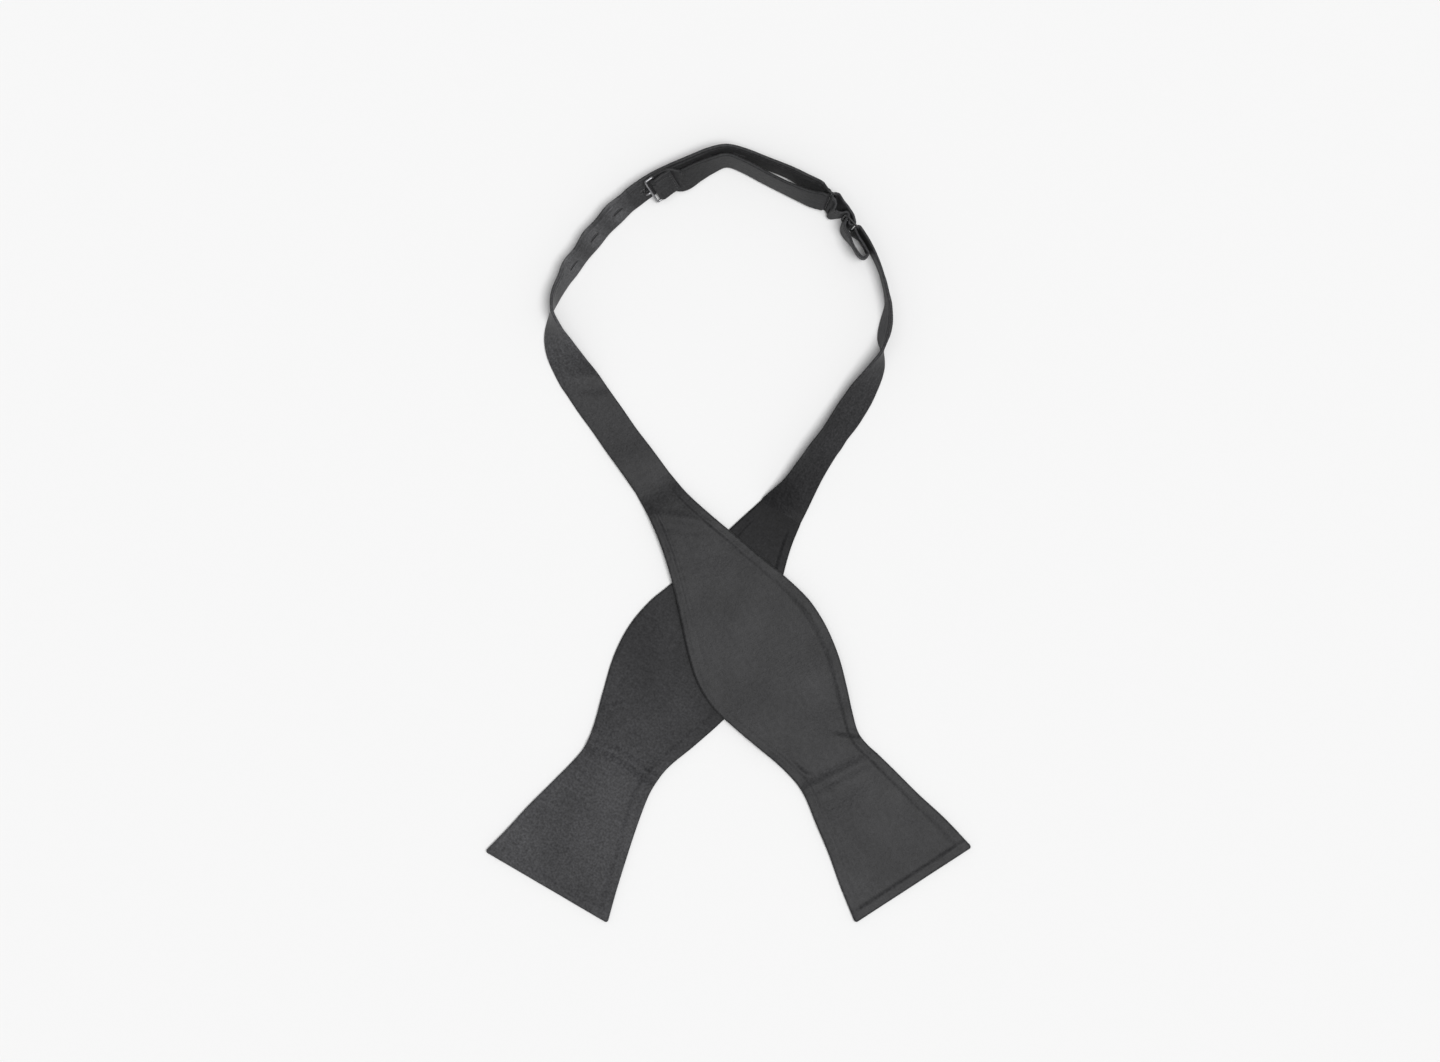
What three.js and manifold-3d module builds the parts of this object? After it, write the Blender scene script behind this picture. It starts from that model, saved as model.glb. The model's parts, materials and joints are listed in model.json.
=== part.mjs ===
// A self-tie bow tie with an adjustable neckband, laid out flat: the two blades cross, and the
// neckband stands on its edge as an open loop. Millimetres, +Z up from the surface it lies on.
//
// The front half is a blade and a slotted band. The band folds round the joining ring and comes
// back as a strap that ends in a hook, which sits in one of the band's own slots. The rear half
// is a blade and a band that runs through a three-bar slider and round the same ring.

import * as THREE from 'three';
import { mergeVertices } from 'three/addons/utils/BufferGeometryUtils.js';
import Module from 'manifold-3d';

const wasm = await Module();
wasm.setup();

// Driving dimensions.
const CLOTH = 0.35;                            // satin, with its pressed seam allowance
const CORE = 0.4;                              // interlining
const AIR = 0.25;                              // room between cloth and interlining
const THICK = 2 * CLOTH + 2 * AIR + CORE;      // a blade or band, face to back
const STRAP_THICK = 1.2;                       // the uncored end of the rear band
const BAND_WIDTH = 15;                         // the band where it stands on edge
const SPLIT = 0.3;                             // space left between two lengths of one ribbon
const FLOOR_GAP = 0.05;                        // a standing band's lower edge above the surface
const WIRE = 0.6;                              // radius of the hardware's wire
const WRAP_AIR = 0.2;                          // room between a wire and the strap round it
const WRAP = WIRE + WRAP_AIR + THICK / 2;      // centre line of a cored band round a wire
const THIN_WRAP = WIRE + WRAP_AIR + STRAP_THICK / 2;

// Slots in the front band.
const SLOT_COUNT = 7;
const HOOKED_SLOT = 3;                         // counted from 0, blade end first
const SLOT_PITCH = 16.7;
const SLOT_LENGTH = 5.5;
const SLOT_HEIGHT = 0.9;
const HOOKED_SLOT_HEIGHT = 2.2;
const RIM_WIDTH = 0.65;                        // thread round a slot
const RIM_PROUD = 0.12;

// Hook: its wire frame turns on the bar inside the strap's folded end.
const HOOK_OFFSET = 4.3;                       // bar to the band's mid surface
const HOOK_AHEAD = 6.1;                        // bar beyond the middle of its slot
const HOOK_LEAN = -2;                          // degrees it lies flatter than the band
const HOOK_FRONT = 4.2;                        // bar to the front bar
const PRONG_RADIUS = 7;
const PRONG_HALF = 0.5;
const PRONG_WIDTH = 1.2;
const PRONG_SWEEP = THREE.MathUtils.degToRad(105);

// Ring and slider.
const RING_HALF = 2.35;                         // ring centre to each of its two bars
const SLIDER_PITCH = 4.5;                      // between neighbouring bars of the slider
const RAIL_OFFSET = BAND_WIDTH / 2 + 0.5 + WIRE;

const UP = new THREE.Vector3(0, 0, 1);
const radians = THREE.MathUtils.degToRad;
const MAX_TWIST = radians(7);                  // between neighbouring sections of a band

const satin = { color: 0x17171a, roughness: 0.42, metalness: 0 };
const canvas = { color: 0xbdb8aa, roughness: 0.95, metalness: 0 };
const thread = { color: 0x101012, roughness: 0.7, metalness: 0 };
const darkMetal = { color: 0x1c1d20, roughness: 0.35, metalness: 0.9 };
const hookMetal = { color: 0x9b9da1, roughness: 0.3, metalness: 0.9 };

const assembly = new THREE.Group();

function addPart(name, geometry, finish) {
  const mesh = new THREE.Mesh(geometry, new THREE.MeshStandardMaterial(finish));
  mesh.name = name;
  assembly.add(mesh);
  return mesh;
}

// ---------------------------------------------------------------------------------------------
// Ribbons: a ribbon is a list of stations, each a centre, a direction across and a width.

function station(centre, across, width) {
  return { centre, across, width };
}

// A station beside the blade's straight axis: its distance from the tip's end edge, then its
// left and right edges measured from the axis, and the height of its middle.
function bladeStations(tip, heading, rows) {
  const right = new THREE.Vector3(heading.y, -heading.x, 0);
  return rows.map(([along, left, rightEdge, height]) => {
    const middle = (left + rightEdge) / 2;
    const centre = tip.clone().addScaledVector(heading, along).addScaledVector(right, middle);
    centre.z = height;
    return station(centre, right.clone(), rightEdge - left);
  });
}

// Stations of a band from plan points and a roll: 0 lies flat, 90 stands on its left edge.
// A band rests on the surface by its lower edge, lifted where the row says so.
function bandStations(rows, before, after) {
  const line = [before, ...rows, after];
  return rows.map(([x, y, roll, width, lift = 0], index) => {
    const previous = line[index];
    const next = line[index + 2];
    const right = new THREE.Vector3(next[1] - previous[1], previous[0] - next[0], 0).normalize();
    const turn = radians(roll);
    const across = right.multiplyScalar(Math.cos(turn)).addScaledVector(UP, Math.sin(turn));
    const rest = (width * Math.abs(Math.sin(turn)) + THICK * Math.abs(Math.cos(turn))) / 2;
    return station(new THREE.Vector3(x, y, rest + FLOOR_GAP + lift), across, width);
  });
}

// A local frame for hardware: along the band, inward from it, and across it.
function hardwareFrame(origin, alongPlan, lean) {
  const along = alongPlan.clone().normalize();
  const outward = new THREE.Vector3(-along.y, along.x, 0);
  const tilt = radians(lean);
  const top = outward.clone().multiplyScalar(Math.sin(tilt)).addScaledVector(UP, Math.cos(tilt));
  const inward = outward.clone().multiplyScalar(-Math.cos(tilt));
  inward.addScaledVector(UP, Math.sin(tilt));
  return { origin, along, inward, top };
}

function inFrame(frame, along, inward, top = 0) {
  return frame.origin.clone()
    .addScaledVector(frame.along, along)
    .addScaledVector(frame.inward, inward)
    .addScaledVector(frame.top, top);
}

function frameStations(frame, across, width, rows) {
  return rows.map(([along, inward]) => station(inFrame(frame, along, inward), across, width));
}

// Stations round a bar, from one angle to another; 0 points along the frame, 90 inward.
function wrapStations(frame, across, width, middle, radius, from, to, count) {
  const rows = [];
  for (let step = 0; step <= count; step += 1) {
    const angle = radians(from + (to - from) * step / count);
    rows.push([middle[0] + radius * Math.cos(angle), middle[1] + radius * Math.sin(angle)]);
  }
  return frameStations(frame, across, width, rows);
}

// A smooth cubic through the stations, with knots spaced by the distance between them.
function smoothRibbon(stations, leastSteps, headingAt = () => undefined) {
  const values = stations.map(({ centre, across, width }) => [
    ...centre.toArray(), ...across.toArray(), width,
  ]);
  const knots = [0];
  for (let index = 1; index < stations.length; index += 1) {
    const gap = stations[index].centre.distanceTo(stations[index - 1].centre);
    knots.push(knots[index - 1] + gap);
  }
  const slopes = values.map((_, index) => {
    const low = Math.max(index - 1, 0);
    const high = Math.min(index + 1, values.length - 1);
    return values[high].map((value, channel) =>
      (value - values[low][channel]) / (knots[high] - knots[low]));
  });
  const at = (span, share) => {
    const gap = knots[span + 1] - knots[span];
    const square = share * share;
    const cube = square * share;
    return values[span].map((value, channel) =>
      (2 * cube - 3 * square + 1) * value
      + (cube - 2 * square + share) * gap * slopes[span][channel]
      + (3 * square - 2 * cube) * values[span + 1][channel]
      + (cube - square) * gap * slopes[span + 1][channel]);
  };
  const samples = [];
  for (let span = 0; span < stations.length - 1; span += 1) {
    const twist = stations[span].across.angleTo(stations[span + 1].across);
    const steps = Math.max(leastSteps, Math.ceil(twist / MAX_TWIST));
    for (let step = 0; step < steps; step += 1) samples.push(at(span, step / steps));
  }
  samples.push(values[values.length - 1]);
  return withTangents(samples.map((sample) => station(
    new THREE.Vector3(...sample.slice(0, 3)),
    new THREE.Vector3(...sample.slice(3, 6)),
    sample[6],
  )), headingAt);
}

// A stated heading squares a section to it, so two lengths that meet have parallel ends.
function withTangents(samples, headingAt) {
  let travelled = 0;
  return samples.map((sample, index) => {
    const previous = samples[Math.max(index - 1, 0)];
    const next = samples[Math.min(index + 1, samples.length - 1)];
    const course = next.centre.clone().sub(previous.centre).normalize();
    const tangent = headingAt(index) ?? course;
    const across = sample.across.clone();
    across.addScaledVector(tangent, -across.dot(tangent)).normalize();
    const normal = across.clone().cross(tangent);
    travelled += index ? sample.centre.distanceTo(previous.centre) : 0;
    return { ...sample, across, normal, tangent, travelled };
  });
}

// The sample at a distance along a ribbon, placed between its two neighbours.
function pointAlong(ribbon, distance) {
  const after = ribbon.findIndex((sample) => sample.travelled >= distance);
  const low = ribbon[after - 1];
  const high = ribbon[after];
  const share = (distance - low.travelled) / (high.travelled - low.travelled);
  const mix = (key) => low[key].clone().lerp(high[key], share).normalize();
  return {
    centre: low.centre.clone().lerp(high.centre, share),
    across: mix('across'),
    normal: mix('normal'),
    tangent: mix('tangent'),
  };
}

// A closed solid whose section, an anticlockwise list of [across, normal] points, changes along
// the ribbon. Every face's diagonal rises the same way, so nested twisted solids stay nested.
function loft(ribbon, sectionAt) {
  const positions = [];
  const faces = [];
  const sections = ribbon.map((sample, index) => sectionAt(sample, index, ribbon.length));
  const count = sections[0].length;
  ribbon.forEach((sample, index) => {
    sections[index].forEach(([across, normal]) => {
      const point = sample.centre.clone()
        .addScaledVector(sample.across, across)
        .addScaledVector(sample.normal, normal);
      positions.push(point.x, point.y, point.z);
    });
  });
  for (let ring = 0; ring < ribbon.length - 1; ring += 1) {
    for (let corner = 0; corner < count; corner += 1) {
      const here = ring * count + corner;
      const beside = ring * count + (corner + 1) % count;
      const rising = sections[ring][(corner + 1) % count][0] >= sections[ring][corner][0];
      if (rising) faces.push(here, here + count, beside + count, here, beside + count, beside);
      else faces.push(here, here + count, beside, beside, here + count, beside + count);
    }
  }
  const addCap = (section, first, flipped) => {
    const contour = section.map(([across, normal]) => new THREE.Vector2(across, normal));
    THREE.ShapeUtils.triangulateShape(contour, []).forEach(([a, b, c]) => {
      faces.push(...(flipped ? [first + a, first + c, first + b] : [first + a, first + b, first + c]));
    });
  };
  addCap(sections[0], 0, false);
  addCap(sections[sections.length - 1], (ribbon.length - 1) * count, true);
  const geometry = new THREE.BufferGeometry();
  geometry.setAttribute('position', new THREE.Float32BufferAttribute(positions, 3));
  geometry.setIndex(faces);
  return geometry;
}

// ---------------------------------------------------------------------------------------------
// Sections.

// A blade panel: a shallow tray whose turned-in lips meet the other panel's at mid thickness.
// The tray is closed off at the ribbon's end edge, where "closed" is 1.
function panelSection(width, side, closed) {
  const half = width / 2;
  const outer = THICK / 2;
  const lip = 0.1;
  const ceiling = closed ? lip + 0.05 : outer - CLOTH;
  const points = [
    [half - CLOTH, lip],
    [half - 0.05, lip],
    [half, outer * 0.6],
    [half - 0.35, outer],
    [-half + 0.35, outer],
    [-half, outer * 0.6],
    [-half + 0.05, lip],
    [-half + CLOTH, lip],
    [-half + 2 * CLOTH, ceiling],
    [half - 2 * CLOTH, ceiling],
  ];
  if (side > 0) return points;
  return points.map(([across, normal]) => [across, -normal]).reverse();
}

function coreSection(width, inset) {
  const half = width / 2 - inset;
  const rise = CORE / 2;
  return [[-half, -rise], [half, -rise], [half, rise], [-half, rise]];
}

// A band's cover: one strip folded round, its two edges meeting in a slit near the upper edge
// on the side that faces the neck.
function coverSection(width, upperSide) {
  const half = width / 2;
  const outer = THICK / 2;
  const inner = outer - CLOTH;
  const slit = half - 2.2;
  const slitHalf = 0.12;
  const points = [
    [-half, -outer],
    [slit - slitHalf, -outer],
    [slit - slitHalf, -inner],
    [-half + CLOTH, -inner],
    [-half + CLOTH, inner],
    [half - CLOTH, inner],
    [half - CLOTH, -inner],
    [slit + slitHalf, -inner],
    [slit + slitHalf, -outer],
    [half, -outer],
    [half, outer],
    [-half, outer],
  ];
  if (upperSide > 0) return points;
  return points.map(([across, normal]) => [-across, normal]).reverse();
}

function strapSection(width) {
  const half = width / 2;
  const outer = STRAP_THICK / 2;
  return [[-half, -outer], [half, -outer], [half, outer], [-half, outer]];
}

// ---------------------------------------------------------------------------------------------
// Joining and cutting.

function toSolid(geometry) {
  const bare = geometry.clone();
  bare.deleteAttribute('normal');
  bare.deleteAttribute('uv');
  const merged = mergeVertices(bare, 1e-5);
  return new wasm.Manifold(new wasm.Mesh({
    numProp: 3,
    vertProperties: new Float32Array(merged.attributes.position.array),
    triVerts: new Uint32Array(merged.index.array),
  }));
}

function toGeometry(solid) {
  const mesh = solid.getMesh();
  const geometry = new THREE.BufferGeometry();
  geometry.setAttribute('position', new THREE.Float32BufferAttribute(mesh.vertProperties, 3));
  geometry.setIndex(new THREE.Uint32BufferAttribute(mesh.triVerts, 1));
  return geometry;
}

function joined(geometries) {
  return toGeometry(geometries.map(toSolid).reduce((whole, piece) => whole.add(piece)));
}

function cutBy(geometry, tools) {
  return toGeometry(tools.map(toSolid).reduce((rest, tool) => rest.subtract(tool), toSolid(geometry)));
}

// ---------------------------------------------------------------------------------------------
// Blades. Each is a belly and a flared tip, which fold on each other at the waist.

const FRONT_TIP = new THREE.Vector3(88.8, -168.9, 0);
const FRONT_HEADING = new THREE.Vector3(-0.546, 0.838, 0).normalize();
const REAR_TIP = new THREE.Vector3(-87.4, -170, 0);
const REAR_HEADING = new THREE.Vector3(0.505, 0.863, 0).normalize();

const LOW = THICK / 2;                         // middle of a ribbon that lies on the surface
const OVER = LOW + THICK + 0.6;                // middle of the front blade over the rear one

// Distance from the end edge, left edge, right edge, height of the middle.
const frontTipRows = [
  [0, -33.5, 33.5, LOW], [19, -29.8, 30, LOW], [35, -26, 25.9, LOW], [51, -23.1, 22.5, LOW],
  [62, -20.9, 20, LOW], [69, -20.4, 18.2, LOW],
];
const frontBellyRows = [
  [69, -20.4, 18.2, LOW], [76, -21.2, 17.8, LOW + 0.3], [85, -23.2, 20.5, LOW + 0.9],
  [97, -26.9, 25, OVER - 0.4], [110, -30.8, 29.4, OVER], [122, -33.8, 32, OVER],
  [132, -34.4, 33, OVER], [143, -32.8, 32.6, OVER], [158, -27.8, 29.1, OVER],
  [172, -22.4, 24.6, OVER], [186, -17.4, 20.4, OVER], [202, -12.9, 15.5, OVER - 0.1],
  [217, -10.2, 11.6, OVER - 0.6], [230, -9.1, 9.9, OVER - 1.2],
];
const rearTipRows = [
  [0, -34.2, 34, LOW], [15, -30.4, 30, LOW], [29, -27.4, 26.7, LOW], [45, -23.2, 23.2, LOW],
  [60, -19.4, 20.5, LOW], [68, -18.3, 20, LOW],
];
const rearBellyRows = [
  [68, -18.3, 20, LOW], [79, -19.8, 21.4, LOW], [95, -24.1, 27.2, LOW], [112, -28.2, 32.7, LOW],
  [128, -29.2, 36.4, LOW], [143, -26.7, 37, LOW], [155, -22.4, 34.2, LOW], [170, -17.6, 28.6, LOW],
  [186, -13, 22.7, LOW], [200, -8.8, 19, LOW + 0.06], [212, -5, 17.2, LOW + 0.5],
];

function trimmed(ribbon, start, end) {
  const shift = (sample, by) => ({
    ...sample,
    centre: sample.centre.clone().addScaledVector(sample.tangent, by),
  });
  const last = ribbon.length - 1;
  return ribbon.map((sample, index) => {
    if (index === 0) return shift(sample, start);
    return index === last ? shift(sample, -end) : sample;
  });
}

// Adds the short stretch of closed tray that makes the end edge of a tip.
function withEndLip(ribbon) {
  const [first, second] = ribbon;
  const inside = {
    ...first,
    centre: first.centre.clone().addScaledVector(first.tangent, CLOTH),
    width: first.width + (second.width - first.width) * CLOTH / second.travelled,
  };
  return [first, inside, ...ribbon.slice(1)];
}

function addBladeLength(name, ribbon, hasEndLip) {
  const shell = hasEndLip ? withEndLip(ribbon) : ribbon;
  const panel = (side) => loft(shell, (sample, index) =>
    panelSection(sample.width, side, hasEndLip && index === 0));
  addPart(`${name}_face_panel`, panel(1), satin);
  addPart(`${name}_back_panel`, panel(-1), satin);
  const core = trimmed(ribbon, hasEndLip ? CLOTH + 2 * AIR : 0, 0);
  addPart(`${name}_interlining`, loft(core, ({ width }) => coreSection(width, 4 * CLOTH)), canvas);
}

function addBlade(name, tip, heading, tipRows, bellyRows) {
  const tipRibbon = smoothRibbon(bladeStations(tip, heading, tipRows), 2, () => heading);
  const bellyRibbon = smoothRibbon(bladeStations(tip, heading, bellyRows), 2, () => heading);
  addBladeLength(`${name}_tip`, trimmed(tipRibbon, 0, SPLIT / 2), true);
  addBladeLength(`${name}_belly`, trimmed(bellyRibbon, SPLIT / 2, SPLIT / 2), false);
}

// The fold at a waist: a line across the blade just above its face.
function waistFold(tip, heading, rows) {
  const [along, left, right, height] = rows[rows.length - 1];
  const across = new THREE.Vector3(heading.y, -heading.x, 0);
  const point = tip.clone().addScaledVector(heading, along);
  point.addScaledVector(across, (left + right) / 2);
  point.z = height + THICK / 2 + SPLIT / 2;
  return { point, axis: across.multiplyScalar(-1) };
}

addBlade('front', FRONT_TIP, FRONT_HEADING, frontTipRows, frontBellyRows);
addBlade('rear', REAR_TIP, REAR_HEADING, rearTipRows, rearBellyRows);

// ---------------------------------------------------------------------------------------------
// Front band: from the blade round to the ring, and back on the neck side to the hook.

const ring = hardwareFrame(
  new THREE.Vector3(47.6, 158.7, 8.7), new THREE.Vector3(0.9, -0.43, 0), 27,
);

// Plan point, roll, width and lift of each station between the blade and the ring.
const frontBandRows = [
  [-44.5, 35.3, 0, 18.6, 1.5], [-51.3, 44.4, 0, 18.3, 1], [-58.1, 54.2, 0, 18.3, 0.5],
  [-64.3, 62.8, 3, 18.5], [-70.1, 71.3, 10, 18.5], [-74.8, 78, 19, 18.4],
  [-78.4, 84.1, 29, 18.2], [-81.5, 91, 44, 17.8], [-83.7, 98.4, 65, 17.2], [-84.5, 106.2, 87, 16.6],
  [-82.8, 113, 102, 15.8], [-79.6, 119.9, 111, 15.5], [-75.4, 127.1, 118, 15.2],
  [-70.2, 134.3, 122, 15], [-64.6, 141.7, 125, 15], [-58.5, 148.8, 127, 15],
  [-51.5, 155.7, 127, 15], [-43.9, 162, 127, 15], [-35.4, 167.8, 125, 15],
  [-26.3, 172.7, 120, 15, 0.2], [-16.8, 177.2, 115, 15, 0.5], [-8.6, 180.9, 111, 15, 0.7],
  [-1, 182.7, 108, 15, 0.9], [7.5, 180.8, 107, 15, 1.1], [17.7, 176.9, 106, 15, 1.3],
  [28.2, 172.8, 106, 15, 1.5], [36.4, 168.4, 111, 15, 1.7],
];
const frontBandStart = bladeStations(FRONT_TIP, FRONT_HEADING, [frontBellyRows.at(-1)])[0];
const frontBandOut = [
  frontBandStart,
  ...bandStations(frontBandRows, frontBandStart.centre.toArray(), [42.5, 165.6]),
];

const RING_LEFT = [-RING_HALF, 0];
const ringBight = [
  ...frameStations(ring, ring.top, BAND_WIDTH, [[-6.4, -3.6]]),
  ...wrapStations(ring, ring.top, BAND_WIDTH, RING_LEFT, WRAP, -100, 100, 8),
];

// The slot that holds the hook, and the others at an even pitch either side of it.
const atStart = (heading) => (index) => (index === 0 ? heading : undefined);
const bandToRing = smoothRibbon([...frontBandOut, ...ringBight], 1);
const HOOKED_AT = 171.8;
const slotFrames = Array.from({ length: SLOT_COUNT }, (_, index) =>
  pointAlong(bandToRing, HOOKED_AT + (index - HOOKED_SLOT) * SLOT_PITCH));

// The hook's bar lies on the neck side of the band, a little nearer the ring than its slot.
const hookedSlot = slotFrames[HOOKED_SLOT];
const leaned = (vector) => vector.clone().applyAxisAngle(hookedSlot.tangent, radians(HOOK_LEAN));
const hookInward = leaned(hookedSlot.normal).multiplyScalar(-1);
const hook = {
  origin: hookedSlot.centre.clone()
    .addScaledVector(hookedSlot.tangent, HOOK_AHEAD)
    .addScaledVector(hookInward, HOOK_OFFSET),
  along: hookedSlot.tangent,
  inward: hookInward,
  top: leaned(hookedSlot.across),
};

// Back from the ring on the neck side, then round the hook's bar to the sewn end.
const returnRows = [
  [40.8, 159.4, 115, 15, 1.6], [35.5, 161.4, 111, 15, 1.4], [28, 164.8, 108, 15, 1.2],
  [17.5, 170, 107, 15, 1], [7.5, 175.3, 107, 15, 0.9], [-1, 178.2, 109, 15, 0.9],
  [-9, 175.5, 114, 15, 0.9], [-15.5, 172.3, 121, 15, 1], [-22.2, 168.7, 128, 15, 1.2],
];
const returnStations = bandStations(
  [...returnRows].reverse(), [-29, 165.6], [45.6, 157.8],
).reverse();
const strapEnd = [
  ...frameStations(hook, hook.top, BAND_WIDTH, [[6.2, -0.7]]),
  ...wrapStations(hook, hook.top, BAND_WIDTH, [0, 0], WRAP, -80, -280, 8),
  ...frameStations(hook, hook.top, BAND_WIDTH, [[4.5, 1.35], [8.5, 1.75]]),
];

const frontBand = smoothRibbon(
  [...frontBandOut, ...ringBight, ...returnStations, ...strapEnd], 1, atStart(FRONT_HEADING),
);

// A slot-shaped prism set in the band, its outline a stadium along the band.
function slotPrism(slot, length, height, depth, opening) {
  const outline = (shape, long, tall) => {
    const reach = (long - tall) / 2;
    shape.absarc(reach, 0, tall / 2, -Math.PI / 2, Math.PI / 2);
    shape.absarc(-reach, 0, tall / 2, Math.PI / 2, Math.PI * 1.5);
    return shape;
  };
  const shape = outline(new THREE.Shape(), length, height);
  if (opening) shape.holes.push(outline(new THREE.Path(), ...opening));
  const prism = new THREE.ExtrudeGeometry(shape, { depth, bevelEnabled: false, curveSegments: 3 });
  prism.translate(0, 0, -depth / 2);
  const side = slot.normal.clone().cross(slot.tangent);
  const placing = new THREE.Matrix4().makeBasis(slot.tangent, side, slot.normal);
  placing.setPosition(slot.centre);
  return prism.applyMatrix4(placing);
}

function slotHeight(index) {
  return index === HOOKED_SLOT ? HOOKED_SLOT_HEIGHT : SLOT_HEIGHT;
}

const slotCutters = slotFrames.map((slot, index) => {
  const grown = 2 * (RIM_WIDTH + AIR);
  return slotPrism(slot, SLOT_LENGTH + grown, slotHeight(index) + grown, 2 * THICK);
});

const coredFrontBand = trimmed(frontBand, SPLIT / 2, 0);
addPart('slotted_band_cover', cutBy(
  loft(coredFrontBand, ({ width }) => coverSection(width, 1)), slotCutters,
), satin);
addPart('slotted_band_interlining', cutBy(
  loft(trimmed(coredFrontBand, 0, 1), ({ width }) => coreSection(width, CLOTH + 0.45)), slotCutters,
), canvas);

slotFrames.forEach((slot, index) => {
  const tall = slotHeight(index);
  const rim = slotPrism(
    slot, SLOT_LENGTH + 2 * RIM_WIDTH, tall + 2 * RIM_WIDTH, THICK + 2 * RIM_PROUD,
    [SLOT_LENGTH, tall],
  );
  addPart(`buttonhole_rim_${index + 1}`, rim, thread);
});

// ---------------------------------------------------------------------------------------------
// Rear band: from the blade up to the slider, which slides on it along an arc.

const ARC_CENTRE = new THREE.Vector3(5.3, 101.5, 0);
const ARC_RADIUS = 71.5;
const SLIDER_RADIUS = 70.05;                   // the slider's bars lie on the band's neck side
const SLIDER_ANGLE = 41.1;
const SLIDER_HEIGHT = 9.3;
const SLIDER_LEAN = 8;                         // degrees the slider leans outward
const STRAP_START = 15;                        // where on the arc the uncored strap begins

function arcPoint(angle, radius) {
  const turn = radians(angle);
  return [ARC_CENTRE.x + radius * Math.cos(turn), ARC_CENTRE.y + radius * Math.sin(turn)];
}

function arcHeading(angle) {
  return new THREE.Vector3(Math.sin(radians(angle)), -Math.cos(radians(angle)), 0);
}

const slider = hardwareFrame(
  new THREE.Vector3(...arcPoint(SLIDER_ANGLE, SLIDER_RADIUS), SLIDER_HEIGHT),
  arcHeading(SLIDER_ANGLE), SLIDER_LEAN,
);

// Rows of the band along the arc, from the angle, roll and lift of each.
const arcRows = (rows) => rows.map(([angle, roll, lift]) =>
  [...arcPoint(angle, ARC_RADIUS), roll, BAND_WIDTH, lift]);

const rearBandRows = [
  [33.3, 21.2, -24, 18.4, 0.5], [41.2, 33.8, -38, 18], [49.5, 45.7, -45, 17.6],
  [58.3, 58.2, -38, 17.4], [65.4, 69.5, -47, 17.2], [70.8, 79, -64, 16.8, 0.1],
  [73.5, 86.8, -87, 16.2, 0.15], [74.2, 93.9, -106, 15.6], [75.5, 101, -108, 15.2],
  ...arcRows([[6, -97, 0.1], [10, -93, 0.2]]),
];
const rearBandStart = bladeStations(REAR_TIP, REAR_HEADING, [rearBellyRows.at(-1)])[0];
const [strapStart] = arcRows([[STRAP_START, -92, 0.4]]);
const rearBand = smoothRibbon([
  rearBandStart,
  ...bandStations(
    [...rearBandRows, strapStart], rearBandStart.centre.toArray(), arcPoint(20, ARC_RADIUS),
  ),
], 1, atStart(REAR_HEADING));
const coredRearBand = trimmed(rearBand, SPLIT / 2, SPLIT / 2);
addPart('slider_band_cover', loft(coredRearBand, ({ width }) => coverSection(width, -1)), satin);
addPart('slider_band_interlining', loft(
  trimmed(coredRearBand, 0, 1), ({ width }) => coreSection(width, CLOTH + 0.45),
), canvas);

// The uncored end of the rear band: outside the slider's last bar, in round it, a slack loop on
// the neck side, out again by the first bar, round the ring, and sewn round the middle bar.
const down = slider.top.clone().multiplyScalar(-1);
const ringDown = ring.top.clone().multiplyScalar(-1);
const between = down.clone().add(ringDown).normalize();
const upright = new THREE.Vector3(0, 0, -1);
const RING_RIGHT = [RING_HALF, 0];
const inSlider = (rows) => frameStations(slider, down, BAND_WIDTH, rows);
const lastBar = [SLIDER_PITCH, 0];
const firstBar = [-SLIDER_PITCH, 0];

const strapStations = [
  ...bandStations(
    arcRows([[STRAP_START, -92, 0.4], [21, -93, 0.8], [27, -95, 1.1], [32, -97, 1.3]]),
    arcPoint(STRAP_START - 5, ARC_RADIUS), arcPoint(36, ARC_RADIUS),
  ),
  ...wrapStations(slider, down, BAND_WIDTH, lastBar, THIN_WRAP, -80, -260, 6),
  ...frameStations(slider, upright, BAND_WIDTH, [[8, 1.4], [12, 1.9], [14.8, 2.6]]),
  ...wrapStations(slider, upright, BAND_WIDTH, [14.6, 4.6], 2.1, -60, 80, 4),
  ...frameStations(slider, upright, BAND_WIDTH, [[12, 6.6], [8, 5.8]]),
  ...inSlider([[3.5, 4.9], [0, 4.3], [-2.1, 2.4]]),
  ...wrapStations(slider, down, BAND_WIDTH, firstBar, THIN_WRAP, 5, -125, 5),
  ...inSlider([[-7, 1.4]]),
  station(inFrame(slider, -9.6, 3.3), between, BAND_WIDTH),
  ...frameStations(ring, ringDown, BAND_WIDTH, [[3, 2.1]]),
  ...wrapStations(ring, ringDown, BAND_WIDTH, RING_RIGHT, THIN_WRAP, 125, 265, 5),
  ...frameStations(ring, ringDown, BAND_WIDTH, [[3.8, -1.45]]),
  station(inFrame(slider, -8.8, -2.5), between, BAND_WIDTH),
  ...inSlider([[-5.4, -3.1], [-2.1, -2.6]]),
  ...wrapStations(slider, down, BAND_WIDTH, [0, 0], THIN_WRAP, -75, 190, 9),
];
const strap = trimmed(smoothRibbon(strapStations, 1), SPLIT / 2, 0);
addPart('adjuster_strap', loft(strap, ({ width }) => strapSection(width)), satin);

// ---------------------------------------------------------------------------------------------
// Hardware. Each piece is built along its own X (along), Y (inward) and Z, then set in place.

function rod(from, to, radius) {
  const start = new THREE.Vector3(...from);
  const end = new THREE.Vector3(...to);
  const shape = new THREE.CapsuleGeometry(radius, start.distanceTo(end), 2, 8);
  const turn = new THREE.Quaternion().setFromUnitVectors(
    new THREE.Vector3(0, 1, 0), end.clone().sub(start).normalize(),
  );
  shape.applyQuaternion(turn);
  const middle = start.add(end).multiplyScalar(0.5);
  return shape.translate(middle.x, middle.y, middle.z);
}

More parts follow.
